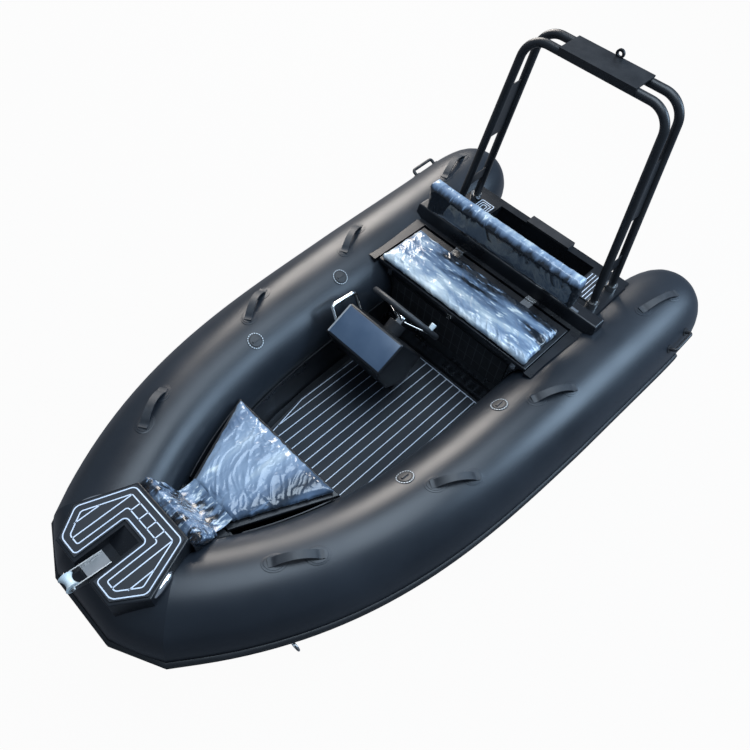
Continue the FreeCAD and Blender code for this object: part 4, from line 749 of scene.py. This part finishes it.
# The seat's film is painted lighter toward the front and the starboard end, as painted sky reflection.
seat_film = film_of("seat_film", turn=(0, 0, 0.62), stretch=(17, 4.0, 6), painted_sky_level=0.12,
                    painted_light_lean=(1.7, -0.16, 0), centre=(0.70, 0, 0.52), contrast=0.9)
wrapped(seat_soft, "seat_film", seat_film, "seat_lid_body", film_lift, film_ridge, turn=0.55,
        stretch=(26, 9, 20))

# The backrest: a foam roll in vinyl on two bent brackets, which are bolted to the seat wall.
# Its film is bunched along the top and at the ends.
backrest_voxel, backrest_cap, backrest_shrink, soft_pressure = 0.0085, 0.007, 0.004, 3.0
back_soft = stuffed(from_node("backrest", backrest_shrink), backrest_voxel, backrest_cap, soft_pressure)
back_skin = piece(back_soft.copy(), "backrest_pad", vinyl, "boat", ["backrest"],
                  crease=all_smooth)
# The backrest's film is painted lighter toward the top, as painted sky reflection.
back_film = film_of("backrest_film", turn=(0.3, 0, 0), stretch=(7, 20, 4), painted_sky_level=-0.14,
                    painted_light_lean=(-2.4, 0, 9.0), centre=(0.572, 0, 0.795), relief=0.0012, contrast=0.6)
wrapped(back_soft, "backrest_film", back_film, "boat", lift=0.0012, ridge=0.0022, turn=0.2,
        stretch=(10, 16, 8))

# The bow cushion: a wedge of foam in the same vinyl, screwed to the bow lid, wrapped in cloudier film.
bow_voxel, bow_cap, bow_shrink, bow_floor = 0.0065, 0.009, 0.006, 0.4146
bow_soft = stuffed(from_node("bow_cushion", bow_shrink), bow_voxel, bow_cap, full_pressure, bow_floor)
bow_skin = piece(bow_soft.copy(), "bow_cushion_pad", vinyl, "bow_lid_body", ["bow_cushion"],
                 crease=all_smooth)
# The bow cushion's film is painted lighter toward its aft starboard corner, as painted sky reflection.
bow_film = film_of("bow_film", turn=(0, 0, -0.75), stretch=(2.2, 9, 6), painted_sky_level=0.13,
                   painted_light_lean=(-0.25, -0.28, 0), centre=(2.08, 0, 0.45), relief=0.0014, contrast=0.5)
wrapped(bow_soft, "bow_film", bow_film, "bow_lid_body", film_lift, film_ridge, turn=-0.5,
        stretch=(10, 20, 20))

# The bow bolster: a foam roll in vinyl, fixed to the step behind the bow cushion, in crumpled film.
bolster_shrink, bolster_cap, bolster_ridge = 0.004, 0.007, 0.004
bolster_soft = stuffed(from_node("bow_bolster", bolster_shrink), bow_voxel, bolster_cap, soft_pressure)
bolster_skin = piece(bolster_soft.copy(), "bow_bolster_pad", vinyl, "boat", ["bow_bolster"],
                     crease=all_smooth)
# The bolster's film is painted lighter toward the top and aft, as painted sky reflection.
bolster_film = film_of("bolster_film", turn=(0, 0.5, 0.2), stretch=(7, 16, 8), painted_sky_level=0.02,
                       painted_light_lean=(-0.5, 0, 0.5), centre=(2.40, 0, 0.52), scale=1.5)
wrapped(bolster_soft, "bolster_film", bolster_film, "boat", film_lift, bolster_ridge, turn=0.3,
        stretch=(24, 14, 14))

# One loose sheet of the same film bridges the bow cushion and the bolster, over the lid's hinges.
# It is taped to both.
sheet_aft, sheet_front, sheet_half, sheet_high, sheet_ridge = 2.262, 2.366, 0.118, 0.4535, 0.006
sheet_rows, sheet_columns, fold_scale, edge_share = 26, 70, Vector((14, 34, 0)), 0.3
fold_start, sheet_sag, sheet_climb = Vector((0, 0, 1.7)), 0.012, 0.014
sheet = bmesh.new()
sheet_middle = Matrix.Translation(((sheet_aft + sheet_front) / 2, 0, sheet_high))
bmesh.ops.create_grid(sheet, x_segments=sheet_rows, y_segments=sheet_columns, size=0.5,
                      matrix=sheet_middle @ Matrix.Diagonal((sheet_front - sheet_aft, 2 * sheet_half, 1, 1)))
for vert in sheet.verts:
    share = (vert.co.x - sheet_aft) / (sheet_front - sheet_aft)
    fold = noise.noise(vert.co * fold_scale + fold_start)
    sag = math.sin(math.pi * share)
    vert.co.z += sheet_ridge * fold * (edge_share + (1 - edge_share) * sag) - sheet_sag * sag
    vert.co.z += sheet_climb * share ** 3
sheet_made = piece(sheet, "hinge_film", bolster_film, None, crease=all_smooth)
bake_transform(sheet_made)

# The console: a glossy black moulding, a leaning pod on a pedestal, with softly rounded edges.
pod_profile = [(1.189, 0.515), (1.353, 0.432), (1.269, 0.237), (1.160, 0.180), (1.015, 0.270)]
pod_centre, pod_half, pod_round = -0.162, 0.172, 0.013
foot_low, foot_high, foot_half, foot_base, foot_top, foot_round = 1.010, 1.138, 0.112, 0.0235, 0.225, 0.012


def add_slab(bm, profile, low, high, edge_round, segments=4):
    """A profile in X and Z drawn out along Y between low and high, with every edge rounded."""
    before = set(bm.verts)
    face = bm.faces.new([bm.verts.new((x, low, z)) for x, z in profile])
    grown = bmesh.ops.extrude_face_region(bm, geom=[face])["geom"]
    moved = [item for item in grown if isinstance(item, bmesh.types.BMVert)]
    bmesh.ops.translate(bm, vec=(0, high - low, 0), verts=moved)
    fresh = [vert for vert in bm.verts if vert not in before]
    edges = list({edge for vert in fresh for edge in vert.link_edges})
    faces = list({face for vert in fresh for face in vert.link_faces})
    bmesh.ops.recalc_face_normals(bm, faces=faces)
    round_off(bm, edges, edge_round, segments)


console = bmesh.new()
add_slab(console, pod_profile, pod_centre - pod_half, pod_centre + pod_half, pod_round, 5)
foot_profile = [(foot_low, foot_base), (foot_high, foot_base), (foot_high, foot_top), (foot_low, foot_top)]
add_slab(console, foot_profile, pod_centre - foot_half, pod_centre + foot_half, foot_round)
piece(console, "console_moulding", console_black, "boat", ["console"])

# The console's top panel: a satin slate plate glued into the pod, with a rolled lip to starboard whose pale
# grey is a painted highlight.
panel_profile = [(1.2005, 0.5095), (1.3415, 0.438), (1.3435, 0.4425), (1.2025, 0.5145)]
panel_starboard_inset, panel_port_inset, panel_round = 0.008, 0.006, 0.0021
panel = bmesh.new()
add_slab(panel, panel_profile, pod_centre - pod_half + panel_starboard_inset,
         pod_centre + pod_half - panel_port_inset, panel_round, 3)
piece(panel, "console_panel_plate", panel_blue, "boat", ["console_panel"])
lip_radius, lip_inset, lip_low, lip_high = 0.0045, 0.010, (1.344, 0.4405), (1.199, 0.5143)
# The lip's pale grey is a painted highlight along the panel's rounded starboard edge.
lip_painted_highlight = finish_of("panel_lip_highlight", (0.30, 0.31, 0.32), (0.38, 0.39, 0.40), 0.3, 0.4, grain_height=0.0)
lip_side = pod_centre - pod_half + lip_inset
lip_way = Vector((lip_high[0] - lip_low[0], 0, lip_high[1] - lip_low[1]))
lip_place = Vector(((lip_low[0] + lip_high[0]) / 2, lip_side, (lip_low[1] + lip_high[1]) / 2))
lip = bmesh.new()
lip_turn = lip_way.to_track_quat("Z", "Y").to_matrix().to_4x4()
bmesh.ops.create_cone(lip, cap_ends=True, segments=32, radius1=lip_radius, radius2=lip_radius,
                      depth=lip_way.length, matrix=Matrix.Translation(lip_place) @ lip_turn)
piece(lip, "console_panel_lip", lip_painted_highlight, "boat")

# The wheel's knob: a small white plastic ball handle clamped to the rim.
helm_tilt, wheel_radius = math.radians(35), 0.186
wheel_centre = Vector((0.9754, -0.162, 0.418))
helm_axis = Vector((-math.cos(helm_tilt), 0, math.sin(helm_tilt)))
across, wheel_up = Vector((0, 1, 0)), helm_axis.cross(Vector((0, 1, 0))) * -1
knob_turn, knob_radius, knob_length, knob_flare, knob_lift = math.radians(20), 0.012, 0.034, 1.2, 0.026
knob_round, rim_angle = 0.004, 0.6
knob_at = wheel_centre + (across * math.cos(knob_turn) + wheel_up * math.sin(knob_turn)) * wheel_radius
knob = bmesh.new()
facing = helm_axis.to_track_quat("Z", "Y").to_matrix().to_4x4()
bmesh.ops.create_cone(knob, cap_ends=True, segments=32, radius1=knob_radius, radius2=knob_radius * knob_flare,
                      depth=knob_length, matrix=Matrix.Translation(knob_at + helm_axis * knob_lift) @ facing)
rims = [edge for edge in knob.edges if edge.calc_face_angle(0) > rim_angle]
round_off(knob, rims, knob_round, 4)
piece(knob, "wheel_knob", roller_white, "steering_wheel")

# The wheel's hub cap: a polished steel dome pressed over the hub's nut.
cap_radius, cap_rise, hub_reach, shaft_foot = 0.0255, 0.014, 0.088, Vector((1.0713, -0.162, 0.3508))
hub_face = shaft_foot + helm_axis * hub_reach
cap = bmesh.new()
flattened = Matrix.Diagonal((1, 1, cap_rise / cap_radius, 1))
bmesh.ops.create_uvsphere(cap, u_segments=40, v_segments=20, radius=cap_radius,
                          matrix=Matrix.Translation(hub_face) @ facing @ flattened)
piece(cap, "hub_cap", chrome, "steering_wheel")

# The seat wall's ledge carries grey plastic edge strips, broken where the backrest's brackets stand.
strip_aft, strip_front, strip_high, strip_thick, strip_round = 0.440, 0.455, 0.5546, 0.0032, 0.001
strip_runs = ((-0.45, -0.29), (-0.238, 0.238), (0.29, 0.45))
edge_grey = finish_of("edge_strip", (0.10, 0.115, 0.135), (0.14, 0.155, 0.175), 0.3, 0.45)
ledge = bmesh.new()
for low, high in strip_runs:
    bmesh.ops.create_cube(ledge, size=1, matrix=Matrix.Translation(
        ((strip_aft + strip_front) / 2, (low + high) / 2, strip_high)) @ Matrix.Diagonal(
            (strip_front - strip_aft, high - low, strip_thick, 1)))
round_off(ledge, ledge.edges[:], strip_round, 2)
piece(ledge, "ledge_strips", edge_grey, "boat")

# The strap handles: black webbing bent over a hand's room, its ends glued between oval rubber patches.
handle_fronts, handle_reach = (0.147, 0.967, 1.605, 2.283), (0.200, 0.164, 0.148, 0.144)
handle_front_turns, handle_rear_turns = (1.6, -3.5, -1.0, -1.0), (13, 13, 16, 6)
strap_half, strap_thick, strap_rise, patch_long, patch_wide = 0.019, 0.0035, 0.032, 0.049, 0.038
strap_steps, strap_tail, strap_lift, strap_edge, strap_waist = 32, 0.024, 0.0045, 0.001, 0.12
strap_grip, strap_open, strap_power = 0.09, 0.82, 0.7
patch_steps = [(1.0, 0.0003), (0.985, 0.0018), (0.80, 0.0022), (0.775, 0.0036), (0.30, 0.0040)]


def on_tube(x, degrees, lift, side):
    """A point on a side tube at a station and an angle outboard of its crown, and its outward direction."""
    turn = math.radians(degrees)
    out = Vector((math.sin(heading(x)), math.cos(heading(x)), 0))
    away = out * math.sin(turn) + Vector((0, 0, 1)) * math.cos(turn)
    at = axis_at(x) + away * (radius_at(x) + lift)
    return Vector((at.x, side * at.y, at.z)), Vector((away.x, side * away.y, away.z))


def snap(at, lift, side):
    """The point moved straight in or out to stand lift above the tube's skin."""
    centre = Vector((at.x, side * axis_y(at.x), axis_z(at.x)))
    away = at - centre
    return centre + away.normalized() * (radius_at(at.x) + lift)


def add_patch(bm, centre, way, cross, long, wide, steps, side, segments=40):
    """An oval patch that follows the tube, in rings from its rim to its middle."""
    loops = []
    for share, lift in steps:
        loop = []
        for k in range(segments):
            angle = 2 * math.pi * k / segments
            at = centre + way * math.cos(angle) * long * share + cross * math.sin(angle) * wide * share
            loop.append(bm.verts.new(snap(at, lift, side)))
        loops.append(loop)
    join_rows(bm, loops, closed=True)
    bm.faces.new(loops[-1])
    bm.faces.new(loops[0][::-1])


for side, title in ((1, "port"), (-1, "starboard")):
    patches, straps = bmesh.new(), bmesh.new()
    for x, reach, front_turn, rear_turn in zip(handle_fronts, handle_reach, handle_front_turns,
                                               handle_rear_turns):
        front, front_away = on_tube(x, front_turn, 0, side)
        rear, rear_away = on_tube(x - reach, rear_turn, 0, side)
        way = (rear - front).normalized()
        cross = (front_away + rear_away).cross(way).normalized()
        up = way.cross(cross)
        up = up if up.z > 0 else -up
        for at in (front, rear):
            add_patch(patches, at, way, cross, patch_long, patch_wide, patch_steps, side)
        length = (rear - front).length
        rows = []
        for k in range(strap_steps + 1):
            share = k / strap_steps
            spot = front + way * (-strap_tail + (length + 2 * strap_tail) * share)
            free = min(1.0, max(0.0, (share - strap_grip) / strap_open))
            bow = max(0.0, math.sin(math.pi * free)) ** strap_power
            lift = strap_lift + strap_rise * bow
            base = snap(spot, 0.0, side)
            half = strap_half * (1 - strap_waist * bow)
            top_half = half - strap_edge
            low, high = base + up * lift, base + up * (lift + strap_thick)
            rows.append([straps.verts.new(at) for at in (
                low - cross * half, high - cross * top_half, high + cross * top_half, low + cross * half)])
        join_rows(straps, rows, closed=True)
        straps.faces.new(rows[0])
        straps.faces.new(rows[-1][::-1])
    face_outward(straps)
    face_outward(patches)
    piece(patches, "handle_patches_" + title, fabric, "boat", crease=30)
    piece(straps, "handle_straps_" + title, webbing, "boat", ["handles_" + title], crease=50)

# The inflation valves: a black flange in a welded ring with pale moulded marks, and a capped plug.
valve_places, valve_turn, flange_radius, mark_count = (1.677, 1.100), -28, 0.041, 20
mark_radii, mark_share, mark_lift = (flange_radius * 0.83, flange_radius * 0.93), 0.6, 0.0036
bar_size, bar_lift = (0.036, 0.010, 0.006, 1), 0.0065
flange_steps = [(1.0, 0.0003), (0.96, 0.003), (0.80, 0.0034), (0.77, 0.0018), (0.70, 0.0018), (0.67, 0.0045),
                (0.2, 0.005)]
flanges, marks = bmesh.new(), bmesh.new()
for side in (-1, 1):
    for x in valve_places:
        at, away = on_tube(x, valve_turn, 0, side)
        cross = away.cross(Vector((1, 0, 0))).normalized()
        way = cross.cross(away).normalized()
        add_patch(flanges, at, way, cross, flange_radius, flange_radius, flange_steps, side, 48)
        for k in range(mark_count):
            low, high = 2 * math.pi * k / mark_count, 2 * math.pi * (k + mark_share) / mark_count
            ways = [way * math.cos(turn) + cross * math.sin(turn) for turn in (low, (low + high) / 2, high)]
            loops = [[marks.verts.new(snap(at + out * radius, mark_lift, side)) for out in ways]
                     for radius in mark_radii]
            join_rows(marks, loops)
        bar = Matrix.Translation(at + away * bar_lift) @ Matrix((way, cross, away)).transposed().to_4x4()
        bmesh.ops.create_cube(flanges, size=1, matrix=bar @ Matrix.Diagonal(bar_size))
face_outward(flanges)
for face in marks.faces:
    if face.normal.z < 0:
        face.normal_flip()
piece(flanges, "valve_flanges", satin_black, "boat", ["valves"])
valve_pale = finish_of("valve_marks", (0.45, 0.5, 0.54), (0.6, 0.65, 0.68), 0.4, 0.5, grain_height=0.0)
piece(marks, "valve_marks", valve_pale, "boat")
